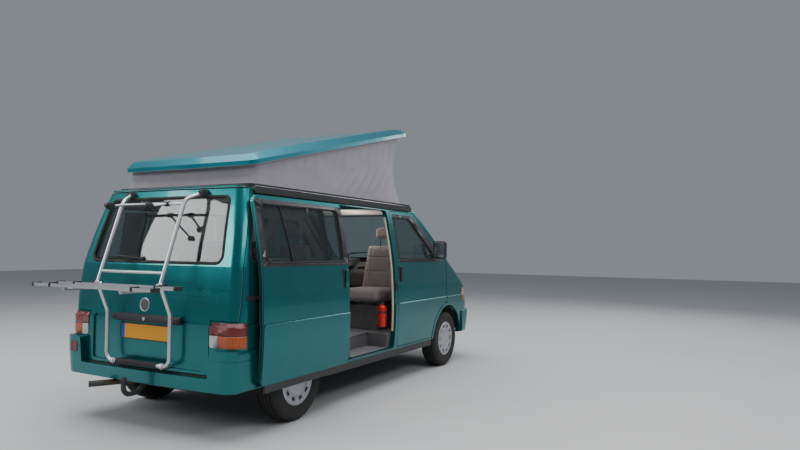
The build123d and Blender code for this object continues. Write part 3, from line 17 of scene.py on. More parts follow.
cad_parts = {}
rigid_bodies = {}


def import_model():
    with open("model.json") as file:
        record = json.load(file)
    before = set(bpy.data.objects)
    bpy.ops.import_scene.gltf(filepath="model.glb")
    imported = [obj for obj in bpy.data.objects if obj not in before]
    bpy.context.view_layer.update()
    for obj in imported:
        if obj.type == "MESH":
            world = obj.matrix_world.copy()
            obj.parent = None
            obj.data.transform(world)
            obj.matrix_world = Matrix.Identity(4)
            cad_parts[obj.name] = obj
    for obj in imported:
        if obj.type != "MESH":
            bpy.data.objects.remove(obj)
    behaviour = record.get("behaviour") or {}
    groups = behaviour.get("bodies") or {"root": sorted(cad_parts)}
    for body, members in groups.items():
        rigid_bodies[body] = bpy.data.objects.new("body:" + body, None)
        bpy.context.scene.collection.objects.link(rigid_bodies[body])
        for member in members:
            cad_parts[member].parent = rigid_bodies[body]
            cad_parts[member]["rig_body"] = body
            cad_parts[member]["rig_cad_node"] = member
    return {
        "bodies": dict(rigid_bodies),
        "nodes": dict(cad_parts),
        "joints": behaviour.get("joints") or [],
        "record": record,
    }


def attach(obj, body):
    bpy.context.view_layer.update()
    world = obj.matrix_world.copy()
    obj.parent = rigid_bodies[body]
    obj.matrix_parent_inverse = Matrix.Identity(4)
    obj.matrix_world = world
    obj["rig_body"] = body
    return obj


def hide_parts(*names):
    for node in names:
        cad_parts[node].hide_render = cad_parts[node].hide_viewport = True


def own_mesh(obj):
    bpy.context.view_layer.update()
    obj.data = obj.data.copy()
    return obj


LOG = logging.getLogger("camper_van")

Colour = tuple[float, float, float]
Socket = bpy.types.NodeSocket
Piece = bpy.types.Object
Test = Callable[[Vector, Vector], bool]
Step = Callable[[], object]

REAR_AXLE_X = -1.249
CLEAR_Y = 1.4  # clear of the van's sides
BEHIND, BEFORE = -1.6, 4.4  # stations clear of its ends

def vec(x: float, y: float, z: float) -> Vector:
    """Returns a vector."""
    return Vector((x, y, z))


AHEAD, LEFT, UP = vec(1.0, 0, 0), vec(0, 1.0, 0), vec(0, 0, 1.0)
SIDES = ((1.0, "left"), (-1.0, "right"))


def at(station: float, y: float, z: float) -> Vector:
    """Returns the point at a station, a distance to the left and a height."""
    return vec(REAR_AXLE_X + station, y, z)


# Node trees

class Board:
    """One node tree, with short calls for what every finish needs.

    Args:
        tree: the material's or the group's node tree.
    """

    def __init__(self, tree: bpy.types.NodeTree) -> None:
        """Keeps the tree."""
        self.tree = tree

    def add(self, kind: str, **settings: object) -> bpy.types.Node:
        """Adds a node and sets its properties.

        Args:
            kind: the node's type, without its leading "ShaderNode".
            settings: the node's own properties.

        Returns:
            The new node.
        """
        name = kind if kind.startswith("Node") else "ShaderNode" + kind
        node = self.tree.nodes.new(name)
        for key, value in settings.items():
            setattr(node, key, value)
        return node

    def feed(self, target: Socket, value: object) -> None:
        """Joins a socket to the target, or sets the target to a plain value.

        Args:
            target: the input.
            value: a socket, or a plain value.
        """
        if isinstance(value, bpy.types.NodeSocket):
            self.tree.links.new(value, target)
        elif target.type == "RGBA" and len(value) == 3:
            target.default_value = (*value, 1.0)
        else:
            target.default_value = value

    def give(self, node: bpy.types.Node, **values: object) -> None:
        """Feeds a node's inputs, which are named in lower case with underscores."""
        for label, value in values.items():
            self.feed(node.inputs[label.replace("_", " ").title()], value)

    def made(self, kind: str, inputs: dict[int | str, object], output: int | str = 0, **settings: object) -> Socket:
        """Adds a node, feeds its inputs and returns one of its outputs.

        Args:
            kind: the node's type, without its leading "ShaderNode".
            inputs: what is fed to which input, by number or name.
            output: the output wanted, by number or name.
            settings: the node's own properties.

        Returns:
            The output's socket.
        """
        node = self.add(kind, **settings)
        for key, value in inputs.items():
            self.feed(node.inputs[key], value)
        return node.outputs[output]

    def sums(self, operation: str, *values: object, clamp: bool = False) -> Socket:
        """Returns the result of one Math node."""
        return self.made("Math", dict(enumerate(values)), operation=operation, use_clamp=clamp)

    def blend(self, mask: object, first: object, second: object, kind: str = "MIX") -> Socket:
        """Returns a colour that goes from the first to the two mixed as the mask goes from 0 to 1."""
        return self.made("Mix", {0: mask, 6: first, 7: second}, 2, data_type="RGBA", blend_type=kind)

    def between(self, mask: object, low: object, high: object) -> Socket:
        """Returns a number that goes from low to high as the mask goes from 0 to 1."""
        return self.made("Mix", {0: mask, 2: low, 3: high}, data_type="FLOAT")

    def ramp(self, value: object, low: object, high: object) -> Socket:
        """Returns 0 below low and 1 above high, and a straight line between them."""
        return self.made("MapRange", {0: value, 1: low, 2: high}, clamp=True)

    def place(self) -> Socket:
        """Returns the Object coordinates, in metres."""
        return self.add("TexCoord").outputs["Object"]

    def axes(self) -> bpy.types.NodeOutputs:
        """Returns the Object coordinates' three numbers."""
        split = self.add("SeparateXYZ")
        self.feed(split.inputs[0], self.place())
        return split.outputs

    def cells(self, scale: object, **settings: object) -> bpy.types.NodeOutputs:
        """Returns the outputs of a cell pattern with a number of cells in a metre.

        Args:
            scale: how many cells there are in a metre.
            settings: the node's own properties.

        Returns:
            Its outputs.
        """
        node = self.add("TexVoronoi", **settings)
        self.give(node, vector=self.place(), scale=scale)
        return node.outputs

    def noise(self, scale: object, detail: float = 3.0, place: object = None) -> Socket:
        """Returns a noise from 0 to 1.

        Args:
            scale: how many blots there are in a metre.
            detail: how many finer layers it has.
            place: the coordinates it is read at, or None for the piece's own.

        Returns:
            The noise's value.
        """
        return self.made("TexNoise", {"Vector": place or self.place(), "Scale": scale, "Detail": detail}, "Fac")

    def bump(self, height: Socket, distance: float, strength: float = 1.0) -> Socket:
        """Returns the normal of a surface raised by a height."""
        return self.made("Bump", {"Strength": strength, "Distance": distance, "Height": height}, "Normal")


def new_group(name: str, takes: dict[str, float],
              gives: dict[str, str]) -> tuple[Board, dict[str, Socket], bpy.types.Node]:
    """Starts a shader node group.

    Args:
        name: the group's name.
        takes: its inputs, each a number with the value it has if nothing is joined.
        gives: its outputs, each with its socket type.

    Returns:
        The group's board, its inputs by name, and the node that its results are fed to.
    """
    tree = bpy.data.node_groups.new(name, "ShaderNodeTree")
    for label, value in takes.items():
        made = tree.interface.new_socket(label, in_out="INPUT", socket_type="NodeSocketFloat")
        made.default_value = value
    for label, kind in gives.items():
        tree.interface.new_socket(label, in_out="OUTPUT", socket_type=kind)
    board = Board(tree)
    inside = board.add("NodeGroupInput")
    result = board.add("NodeGroupOutput")
    return board, {label: inside.outputs[label] for label in takes}, result


NUMBER = "NodeSocketFloat"


class Effect(Enum):
    """The effects that several finishes share. Each is one node group."""

    ROAD_FILM = "road_film"
    GRAIN = "moulded_grain"
    FLAKE = "paint_flake"
    WEAVE = "cloth_weave"
    WEAR = "patchy_wear"
    BRUSHED = "brushed_lines"


class Effects:
    """Builds each shared effect once and places it in the finishes."""

    built: ClassVar[dict[Effect, bpy.types.NodeTree]] = {}

    @classmethod
    def tree(cls, effect: Effect) -> bpy.types.NodeTree:
        """Returns the effect's node group, built the first time it is asked for.

        Args:
            effect: which effect.

        Returns:
            Its node tree.
        """
        if effect not in cls.built:
            cls.built[effect] = getattr(cls, effect.name.lower())(effect.value)
        return cls.built[effect]

    @classmethod
    def on(cls, board: Board, effect: Effect, **values: object) -> bpy.types.Node:
        """Places an effect on a finish's board.

        Args:
            board: the finish's board.
            effect: which effect.
            values: its inputs, named in lower case.

        Returns:
            The group node, whose outputs the finish uses.
        """
        node = board.add("Group")
        node.node_tree = cls.tree(effect)
        board.give(node, **values)
        return node

    @staticmethod
    def road_film(name: str) -> bpy.types.NodeTree:
        """A mask that grows towards the ground and lies in patches: paler dust on the plastics, a darker, duller teal
        on the paint.

        Args:
            name: the group's name.

        Returns:
            The group's tree.
        """
        board, takes, result = new_group(name, {"Top": 0.8, "Amount": 0.5}, {"Mask": NUMBER})
        low = board.sums("DIVIDE", board.axes()["Z"], takes["Top"])
        height = board.sums("SUBTRACT", 1.0, low, clamp=True)
        blots = board.ramp(board.noise(5.0, 6.0), 0.3, 0.75)
        film = board.sums("MULTIPLY", height, board.between(blots, 0.35, 1.0))
        board.give(result, mask=board.sums("MULTIPLY", film, takes["Amount"], clamp=True))
        return board.tree

    @staticmethod
    def grain(name: str) -> bpy.types.NodeTree:
        """The fine pebbled grain of moulded plastic.

        Args:
            name: the group's name.

        Returns:
            The group's tree.
        """
        board, takes, result = new_group(name, {"Scale": 900.0}, {"Height": NUMBER, "Mask": NUMBER})
        board.give(result, height=board.cells(takes["Scale"], feature="SMOOTH_F1")["Distance"],
                   mask=board.ramp(board.noise(14.0, 5.0), 0.35, 0.7))
        return board.tree

    @staticmethod
    def flake(name: str) -> bpy.types.NodeTree:
        """Metal flakes in paint: a value for each flake and the faint orange peel over them.

        Args:
            name: the group's name.

        Returns:
            The group's tree.
        """
        board, takes, result = new_group(name, {"Scale": 1400.0}, {"Value": NUMBER, "Peel": NUMBER})
        value = board.made("SeparateColor", {0: board.cells(takes["Scale"])["Color"]})
        board.give(result, value=value, peel=board.noise(230.0, 1.0))
        return board.tree

    @staticmethod
    def weave(name: str) -> bpy.types.NodeTree:
        """Warp and weft threads on any upright or level surface.

        Args:
            name: the group's name.

        Returns:
            The group's tree.
        """
        board, takes, result = new_group(name, {"Threads": 500.0}, {"Height": NUMBER, "Mask": NUMBER})
        axes = board.axes()
        turn = board.sums("MULTIPLY", takes["Threads"], 2 * math.pi)
        across = board.sums("ADD", axes["X"], axes["Y"])
        warp = board.sums("SINE", board.sums("MULTIPLY", across, turn))
        weft = board.sums("SINE", board.sums("MULTIPLY", axes["Z"], turn))
        height = board.sums("MULTIPLY", warp, weft)
        board.give(result, height=board.sums("MULTIPLY_ADD", height, 0.5, 0.5),
                   mask=board.ramp(board.noise(9.0, 5.0), 0.35, 0.7))
        return board.tree

    @staticmethod
    def wear(name: str) -> bpy.types.NodeTree:
        """Patches of rubbed or stained surface.

        Args:
            name: the group's name.

        Returns:
            The group's tree.
        """
        board, takes, result = new_group(name, {"Scale": 12.0, "Share": 0.4}, {"Mask": NUMBER})
        low = board.sums("SUBTRACT", 0.85, takes["Share"])
        high = board.sums("ADD", low, 0.16)
        board.give(result, mask=board.ramp(board.noise(takes["Scale"], 8.0), low, high))
        return board.tree

    @staticmethod
    def brushed(name: str) -> bpy.types.NodeTree:
        """Fine drawn lines along metal that was extruded or brushed.

        Args:
            name: the group's name.

        Returns:
            The group's tree.
        """
        board, takes, result = new_group(name, {"Scale": 60.0}, {"Height": NUMBER})
        stretched = board.made("Mapping", {"Vector": board.place(), "Scale": (1.0, 1.0, 24.0)})
        board.give(result, height=board.noise(takes["Scale"], 4.0, stretched))
        return board.tree


# Finishes

@dataclass(frozen=True)
class Finish:
    """A surface's plain values, which every kind of finish starts from."""

    name: str
    colour: Colour
    roughness: float = 0.5
    metallic: float = 0.0
    made: ClassVar[dict[str, bpy.types.Material]] = {}

    def material(self) -> bpy.types.Material:
        """Returns the finish's material, built the first time it is asked for."""
        if self.name not in self.made:
            material = bpy.data.materials.new(self.name)
            material.use_nodes = True
            material.diffuse_color = (*self.colour, 1.0)
            board = Board(material.node_tree)
            shader = board.tree.nodes["Principled BSDF"]
            board.give(shader, base_color=self.colour, roughness=self.roughness, metallic=self.metallic)
            self.wire(board, shader)
            self.made[self.name] = material
        return self.made[self.name]

    def tone(self, share: float, lift: float = 0.0) -> Colour:
        """Returns the finish's colour made darker or paler."""
        return tuple(min(1.0, channel * share + lift) for channel in self.colour)

    def wire(self, board: Board, shader: bpy.types.Node) -> None:
        """Adds what this kind of finish has over its plain values."""
        raise NotImplementedError


@dataclass(frozen=True)
class MetallicPaint(Finish):
    """Lacquered metallic paint with flakes and faint orange peel, darker and duller in patches towards the ground."""

    film_top: float = 0.85
    film: float = 0.5

    def wire(self, board: Board, shader: bpy.types.Node) -> None:
        """Adds flakes, peel, the patchy darkening towards the ground and the lacquer.

        Args:
            board: the material's board.
            shader: its main shader.
        """
        flake = Effects.on(board, Effect.FLAKE)
        film = Effects.on(board, Effect.ROAD_FILM, top=self.film_top, amount=self.film).outputs["Mask"]
        flaked = board.blend(flake.outputs["Value"], self.tone(0.93), self.tone(1.07, 0.002))
        smears = board.ramp(board.noise(3.0, 6.0), 0.35, 0.8)
        rough = board.between(smears, self.roughness, self.roughness + 0.09)
        # Towards the ground the paint is blended in patches to a darker, duller teal with less lacquer.
        board.give(shader, base_color=board.blend(film, flaked, (0.012, 0.05, 0.045)),
                   roughness=board.between(film, rough, 0.5), coat_weight=board.between(film, 0.5, 0.1),
                   coat_roughness=0.05, normal=board.bump(flake.outputs["Peel"], 0.00004, 0.03))


@dataclass(frozen=True)
class MouldedPlastic(Finish):
    """Grained plastic, paler where it has weathered."""

    grain: float = 900.0
    depth: float = 0.00035
    weather: float = 0.35
    film: float = 0.25

    def wire(self, board: Board, shader: bpy.types.Node) -> None:
        """Adds the grain, the weathered patches and the dust.

        Args:
            board: the material's board.
            shader: its main shader.
        """
        grain = Effects.on(board, Effect.GRAIN, scale=self.grain)
        film = Effects.on(board, Effect.ROAD_FILM, top=0.9, amount=self.film).outputs["Mask"]
        aged = board.sums("MULTIPLY", grain.outputs["Mask"], self.weather)
        base = board.blend(aged, self.colour, self.tone(1.7, 0.012))
        board.give(shader, base_color=board.blend(film, base, (0.11, 0.1, 0.085)),
                   roughness=board.between(grain.outputs["Mask"], self.roughness, min(1.0, self.roughness + 0.14)),
                   normal=board.bump(grain.outputs["Height"], self.depth, 0.5))


@dataclass(frozen=True)
class Rubber(Finish):
    """Tyre and seal rubber, dusty in patches."""

    dust: float = 0.4

    def wire(self, board: Board, shader: bpy.types.Node) -> None:
        """Adds the dust and a dull, slightly uneven surface.

        Args:
            board: the material's board.
            shader: its main shader.
        """
        worn = Effects.on(board, Effect.WEAR, scale=9.0, share=0.5).outputs["Mask"]
        dusty = board.sums("MULTIPLY", worn, self.dust)
        board.give(shader, base_color=board.blend(dusty, self.colour, (0.075, 0.07, 0.06)),
                   roughness=board.between(worn, self.roughness, 0.92),
                   normal=board.bump(board.noise(420.0, 3.0), 0.0003, 0.4))


@dataclass(frozen=True)
class Glazing(Finish):
    """Tinted safety glass, with a few wiped streaks."""

    streaks: float = 0.05

    def wire(self, board: Board, shader: bpy.types.Node) -> None:
        """Adds transmission and the streaks.

        Args:
            board: the material's board.
            shader: its main shader.
        """
        shader.inputs["IOR"].default_value = 1.48
        wiped = Effects.on(board, Effect.WEAR, scale=3.0, share=0.35).outputs["Mask"]
        board.give(shader, transmission_weight=1.0,
                   roughness=board.between(wiped, self.roughness, self.roughness + self.streaks))


@dataclass(frozen=True)
class Lens(Finish):
    """A clear or coloured lamp lens with moulded ribs."""

    ribs: float = 160.0

    def wire(self, board: Board, shader: bpy.types.Node) -> None:
        """Adds the ribs, which run up and down, with painted shade in their valleys, and the gloss.

        Args:
            board: the material's board.
            shader: its main shader.
        """
        axes = board.axes()
        turn = self.ribs * 2 * math.pi
        wave = board.sums("SINE", board.sums("MULTIPLY", board.sums("ADD", axes["X"], axes["Y"]), turn))
        rows = board.sums("SINE", board.sums("MULTIPLY", axes["Z"], turn))
        height = board.sums("ADD", wave, rows)
        # The ribs' height is also painted into the colour: painted shade in the valleys between the ribs.
        board.give(shader, base_color=board.blend(board.ramp(height, -2.0, 2.0), self.tone(0.6), self.colour),
                   normal=board.bump(height, 0.0006, 0.5), transmission_weight=0.15, coat_weight=0.5,
                   coat_roughness=0.04)


@dataclass(frozen=True)
class Metal(Finish):
    """Bare, cast, painted or anodised metal with drawn lines and patches."""

    patch: Colour = (0.1, 0.1, 0.1)
    share: float = 0.3
    patch_roughness: float = 0.7

    def wire(self, board: Board, shader: bpy.types.Node) -> None:
        """Adds the drawn lines and the patches.

        Args:
            board: the material's board.
            shader: its main shader.
        """
        lines = Effects.on(board, Effect.BRUSHED).outputs["Height"]
        worn = Effects.on(board, Effect.WEAR, scale=16.0, share=self.share).outputs["Mask"]
        base = board.blend(lines, self.tone(0.82), self.colour)
        rough = board.between(lines, self.roughness - 0.05, self.roughness + 0.05)
        board.give(shader, base_color=board.blend(worn, base, self.patch),
                   roughness=board.between(worn, rough, self.patch_roughness), normal=board.bump(lines, 0.0001, 0.25))


@dataclass(frozen=True)
class Cloth(Finish):
    """Woven cloth, with its threads, sheen and slight fading."""

    threads: float = 500.0
    second: Colour = (0.3, 0.3, 0.3)
    depth: float = 0.0006
    fleck: float = 0.0

    def wire(self, board: Board, shader: bpy.types.Node) -> None:
        """Adds the threads, with painted shade and highlight from their height, the flecks and the fading.

        Args:
            board: the material's board.
            shader: its main shader.
        """
        weave = Effects.on(board, Effect.WEAVE, threads=self.threads)
        faded = board.blend(board.sums("MULTIPLY", weave.outputs["Mask"], 0.6), self.colour, self.second)
        # The weave's height is painted into the colour: painted shade between the threads and a painted highlight on
        # their tops.
        shade = board.between(weave.outputs["Height"], 0.86, 1.06)
        flecks = board.ramp(board.noise(260.0, 2.0), 0.5, 0.72)
        toned = board.sums("SUBTRACT", shade, board.sums("MULTIPLY", flecks, self.fleck))
        board.give(shader, base_color=board.blend(1.0, faded, toned, "MULTIPLY"), sheen_weight=0.25,
                   sheen_roughness=0.5, normal=board.bump(weave.outputs["Height"], self.depth, 0.6))


@dataclass(frozen=True)
class Laminate(Finish):
    """Furniture laminate with a fine speckle."""

    speck: Colour = (0.2, 0.2, 0.2)

    def wire(self, board: Board, shader: bpy.types.Node) -> None:
        """Adds the speckle and worn gloss.

        Args:
            board: the material's board.
            shader: its main shader.
        """
        specks = board.ramp(board.noise(700.0, 2.0), 0.52, 0.7)
        worn = Effects.on(board, Effect.WEAR, scale=5.0, share=0.4).outputs["Mask"]
        board.give(shader, base_color=board.blend(specks, self.colour, self.speck),
                   roughness=board.between(worn, self.roughness, self.roughness + 0.15),
                   normal=board.bump(specks, 0.00008, 0.3))


class Shades:
    """Every finish on the van."""

    PAINT = MetallicPaint("teal_paint", (0, 0.17, 0.175), 0.26, 0.86)
    # The raised roof's paint is the body's teal made paler and bluer: a painted reflection of the sky on the shell.
    ROOF = MetallicPaint("roof_paint", (0.004, 0.19, 0.25), 0.34, 0.7, film_top=0.1, film=0.0)
    BLACK = MouldedPlastic("black_plastic", (0.016, 0.016, 0.018), 0.48)
    FRAME = MouldedPlastic("window_frame_black", (0.02, 0.019, 0.022), 0.32, depth=0.0001)
    TRIM = MouldedPlastic("grey_trim", (0.085, 0.083, 0.09), 0.6, film=0.1)
    RUBBER = Rubber("tyre_rubber", (0.012, 0.012, 0.013), 0.72, dust=0.25)
    SEAL = Rubber("seal_rubber", (0.012, 0.012, 0.013), 0.6, dust=0.15)
    GLASS = Glazing("tinted_glass", (0.36, 0.45, 0.44), 0.012)
    RED = Lens("red_lens", (0.23, 0.001, 0.004), 0.2)
    AMBER = Lens("amber_lens", (0.58, 0.095, 0.002), 0.2)
    WHITE = Lens("clear_lens", (0.7, 0.71, 0.72), 0.1)
    COVER = Metal("cover_silver", (0.45, 0.46, 0.48), 0.42, 0.55, patch=(0.3, 0.3, 0.3), share=0.2)
    ALLOY = Metal("anodised_silver", (0.66, 0.67, 0.7), 0.34, 0.9, patch=(0.45, 0.45, 0.46), share=0.22,
                  patch_roughness=0.5)
    STEEL = Metal("plain_steel", (0.42, 0.42, 0.43), 0.35, 0.95, patch=(0.16, 0.12, 0.09), share=0.3)
    CAST = Metal("cast_iron", (0.09, 0.088, 0.085), 0.6, 0.6, patch=(0.13, 0.07, 0.035), share=0.42)
    UNDER = Metal("underseal", (0.03, 0.031, 0.032), 0.75, 0.0, patch=(0.045, 0.042, 0.038), share=0.42)
    CANVAS = Cloth("roof_canvas", (0.31, 0.285, 0.325), 0.9, threads=420.0, second=(0.26, 0.24, 0.275))
    SEAT = Cloth("seat_cloth", (0.27, 0.235, 0.235), 0.95, threads=330.0, second=(0.33, 0.3, 0.31),
                 fleck=0.35)
    LAMINATE = Laminate("grey_laminate", (0.42, 0.4, 0.39), 0.4, speck=(0.3, 0.29, 0.28))
    VINYL = MouldedPlastic("pale_lining", (0.3, 0.285, 0.27), 0.62, grain=500.0, depth=0.0003, film=0.0)
    HEADLINING = Cloth("headlining", (0.42, 0.4, 0.38), 0.95, threads=260.0, second=(0.36, 0.34, 0.32))
    BEIGE = MouldedPlastic("beige_seal", (0.5, 0.4, 0.32), 0.7, grain=700.0, film=0.0)
    CARPET = Cloth("floor_cover", (0.13, 0.125, 0.14), 0.97, threads=180.0, second=(0.1, 0.095, 0.1), depth=0.0012,
                   fleck=0.3)
    FOAM = MouldedPlastic("closed_foam", (0.02, 0.02, 0.022), 0.85, grain=420.0, depth=0.0008, weather=0.5, film=0.0)
    PALE = MouldedPlastic("pale_grey_plastic", (0.28, 0.29, 0.3), 0.5, weather=0.2, film=0.1)
    MIRROR = Metal("silvered_glass", (0.8, 0.82, 0.84), 0.09, 1.0, patch=(0.7, 0.72, 0.74), share=0.15,
                   patch_roughness=0.2)
    PLATE = Laminate("yellow_plate", (0.68, 0.29, 0.004), 0.4, speck=(0.62, 0.26, 0.004))
    STRIPE = Laminate("blue_stripe", (0.01, 0.05, 0.36), 0.38, speck=(0.012, 0.055, 0.3))
    RED_PAINT = Laminate("red_enamel", (0.55, 0.012, 0.01), 0.22, speck=(0.45, 0.012, 0.01))


NODE_SHADES: dict[Finish, tuple[str, ...]] = {
    Shades.PAINT: ("side_left", "side_right", "front_wings", "front_door_left", "front_door_right", "roof_panel",
                   "front_panel", "bonnet", "sliding_door", "tailgate", "front_bumper", "rear_bumper"),
    Shades.ROOF: ("pop_roof",),
    Shades.BLACK: ("mirror_left", "mirror_right", "cowl", "grille", "slide_rail", "roof_frame", "sill_trims",
                   "gutter_rails", "sliding_door_skirt"),
    Shades.TRIM: ("dashboard", "steering_wheel"),
    Shades.RUBBER: ("tyre_front_left", "tyre_front_right", "tyre_rear_left", "tyre_rear_right"),
    Shades.GLASS: ("body_glass", "sliding_door_glass", "tailgate_glass", "door_glass_left", "door_glass_right"),
    Shades.RED: ("tail_lamps",),
    Shades.WHITE: ("front_lamps",),
    Shades.COVER: ("rim_front_left", "rim_front_right", "rim_rear_left", "rim_rear_right"),
    Shades.ALLOY: ("carrier_frame", "carrier_platform"),
    Shades.STEEL: ("roof_links", "strut_lower", "strut_upper"),
    Shades.CAST: ("knuckle_left", "knuckle_right", "front_subframe", "rear_axle", "engine", "exhaust"),
    Shades.UNDER: ("floor_pan", "fuel_tank", "tow_bar"),
    Shades.CANVAS: ("roof_canvas",),
    Shades.SEAT: ("front_seats", "rear_bench"),
    Shades.LAMINATE: ("kitchen_unit",),
}


def dress_nodes(nodes: dict[str, Piece]) -> None:
    """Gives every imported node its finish.

    Args:
        nodes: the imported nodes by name.
    """
    for finish, names in NODE_SHADES.items():
        for name in names:
            slots = nodes[name].material_slots
            if not slots:
                nodes[name].data.materials.append(finish.material())
            for place in slots:
                place.material = finish.material()


# Modelling

def hold(*pieces: Piece) -> None:
    """Selects only these pieces and makes the first of them the active one."""
    bpy.ops.object.select_all(action="DESELECT")
    for piece in pieces:
        piece.select_set(True)
    bpy.context.view_layer.objects.active = pieces[0]


def settled(name: str) -> Piece:
    """Names the piece in hand and applies its place, so that it sits at the origin.

    Args:
        name: the piece's name.

    Returns:
        The piece.
    """
    piece = bpy.context.object
    piece.name = name
    piece.data.name = name
    hold(piece)
    bpy.ops.object.transform_apply(location=True, rotation=True, scale=True)
    return piece


def choose(piece: Piece, test: Test) -> int:
    """Selects, in edit mode, only the faces that a test passes.

    Args:
        piece: the piece, in edit mode.
        test: takes a face's middle and its normal.

    Returns:
        How many faces are selected.
    """
    bpy.ops.mesh.select_mode(type="FACE")
    bpy.ops.mesh.select_all(action="DESELECT")
    bpy.ops.object.mode_set(mode="OBJECT")
    count = 0
    for face in piece.data.polygons:
        face.select = test(face.center, face.normal)
        count += face.select
    bpy.ops.object.mode_set(mode="EDIT")
    return count


def edit(piece: Piece, test: Test, *steps: Step) -> Piece:
    """Runs edit mode steps on the faces that a test passes.

    Args:
        piece: the piece.
        test: takes a face's middle and its normal.
        steps: what is done to the chosen faces, in turn.

    Returns:
        The piece.
    """
    hold(piece)
    bpy.ops.object.mode_set(mode="EDIT")
    if choose(piece, test):
        for step in steps:
            step()
    bpy.ops.object.mode_set(mode="OBJECT")
    return piece


def everything(_centre: Vector, _normal: Vector) -> bool:
    """Passes every face."""
    return True


def looks(way: Vector) -> Test:
    """Returns the test that passes the faces that look squarely one way."""
    return lambda _centre, normal: normal.dot(way) > 0.9


def inset(thickness: float, **settings: object) -> Step:
    """Returns the step that draws the chosen faces in from their edges."""
    return lambda: bpy.ops.mesh.inset(thickness=thickness, **settings)


def extrude(move: Sequence[float]) -> Step:
    """Returns the step that extrudes the chosen faces by a move."""
    return lambda: bpy.ops.mesh.extrude_region_move(TRANSFORM_OT_translate={"value": move})


def press(height: float) -> Step:
    """Returns the step that raises the chosen faces along their normals, or sinks them below 0."""
    return lambda: bpy.ops.mesh.extrude_region_shrink_fatten(TRANSFORM_OT_shrink_fatten={"value": height})


def shift(move: Sequence[float]) -> Step:
    """Returns the step that moves the chosen faces."""
    return lambda: bpy.ops.transform.translate(value=move)


def resize(shares: Sequence[float]) -> Step:
    """Returns the step that scales the chosen faces along the three axes."""
    return lambda: bpy.ops.transform.resize(value=shares)


def divide(cuts: int) -> Step:
    """Returns the step that subdivides the chosen faces."""
    return lambda: bpy.ops.mesh.subdivide(number_cuts=cuts)


def clean(piece: Piece, gap: float = 1e-5) -> Piece:
    """Merges a piece's doubled points and turns its faces outwards."""
    return edit(piece, everything, lambda: bpy.ops.mesh.remove_doubles(threshold=gap),
                lambda: bpy.ops.mesh.normals_make_consistent(inside=False))


def modify(piece: Piece, kind: str, **settings: object) -> Piece:
    """Adds one modifier to a piece and applies it.

    Args:
        piece: the piece.
        kind: the modifier's type.
        settings: the modifier's own settings.

    Returns:
        The piece.
    """
    hold(piece)
    modifier = piece.modifiers.new(kind.lower(), kind)
    for key, value in settings.items():
        setattr(modifier, key, value)
    bpy.ops.object.modifier_apply(modifier=modifier.name)
    return piece


def rounded(piece: Piece, width: float, segments: int = 2, angle: float = 30.0) -> Piece:
    """Rounds a piece's sharp edges and shades it smooth between those that are left."""
    modify(piece, "BEVEL", width=width, segments=segments, limit_method="ANGLE", angle_limit=math.radians(angle))
    return smooth(piece)


def smooth(piece: Piece, angle: float = 35.0) -> Piece:
    """Shades a piece smooth, but for edges sharper than an angle in degrees."""
    hold(piece)
    bpy.ops.object.shade_smooth_by_angle(angle=math.radians(angle))
    return piece


def block(name: str, low: Sequence[float], high: Sequence[float], edge: float = 0.0) -> Piece:
    """Makes a block between two corners, its edges rounded if a width is given.

    Args:
        name: the block's name.
        low: its lower corner.
        high: its upper corner.
        edge: how far its edges are rounded.

    Returns:
        The block.
    """
    low, high = Vector(low), Vector(high)
    bpy.ops.mesh.primitive_cube_add(size=1.0, location=(low + high) / 2)
    bpy.context.object.scale = high - low
    piece = settled(name)
    return rounded(piece, edge) if edge else piece


def panel(name: str, low: Vector, high: Vector, facing: Vector, rims: Sequence[tuple[float, float]], edge: float,
          segments: int = 2) -> Piece:
    """Makes a block with one face raised or sunk inside a rim.

    Args:
        name: the piece's name.
        low: its lower corner.
        high: its upper corner.
        facing: the way that the face looks.
        rims: rows of a rim's width and how far the face inside it rises, below 0 where it sinks.
        edge: how far the edges are rounded.
        segments: how many steps a rounded edge has.

    Returns:
        The block.
    """
    steps = [step for width, rise in rims for step in (inset(width), extrude(facing * rise))]
    return rounded(edit(block(name, low, high), looks(facing), *steps), edge, segments)


def rod(name: str, start: Vector, end: Vector, radius: float, sides: int = 24, edge: float = 0.0) -> Piece:
    """Makes a round bar between two points.

    Args:
        name: the bar's name.
        start: the middle of one end.
        end: the middle of the other.
        radius: its radius.
        sides: how many sides it has.
        edge: how far the edges of its ends are rounded.

    Returns:
        The bar.
    """
    run = end - start
    bpy.ops.mesh.primitive_cylinder_add(vertices=sides, radius=radius, depth=run.length, location=(start + end) / 2)
    bpy.context.object.rotation_mode = "QUATERNION"
    bpy.context.object.rotation_quaternion = run.to_track_quat("Z", "Y")
    piece = settled(name)
    return rounded(piece, edge) if edge else smooth(piece)


def chain(name: str, points: Sequence[Vector], closed: bool = False) -> Piece:
    """Draws a line of points, one extruded from another.

    Args:
        name: the piece's name.
        points: the points in turn.
        closed: whether the last is joined to the first and the loop is filled.

    Returns:
        The piece, still in edit mode, with all of it selected.
    """
    bpy.ops.mesh.primitive_plane_add(size=0.01, location=points[0])
    settled(name)
    bpy.ops.object.mode_set(mode="EDIT")
    bpy.ops.mesh.select_mode(type="VERT")
    bpy.ops.mesh.select_all(action="SELECT")
    bpy.ops.mesh.merge(type="CENTER")
    for here, there in zip(points, points[1:]):
        bpy.ops.mesh.extrude_vertices_move(TRANSFORM_OT_translate={"value": there - here})
    bpy.ops.mesh.select_all(action="SELECT")
    if closed:
        bpy.ops.mesh.edge_face_add()
    return bpy.context.object


def plate(name: str, outline: Sequence[Vector], depth: Vector, edge: float = 0.0) -> Piece:
    """Makes a plate from an outline, drawn as a loop, filled and pulled to its thickness.

    Args:
        name: the plate's name.
        outline: its corners in turn.
        depth: its thickness, as a move.
        edge: how far its edges are rounded.

    Returns:
        The plate.
    """
    piece = chain(name, outline, closed=True)
    bpy.ops.mesh.extrude_region_move(TRANSFORM_OT_translate={"value": depth})
    bpy.ops.object.mode_set(mode="OBJECT")
    clean(piece)
    return rounded(piece, edge) if edge else smooth(piece)


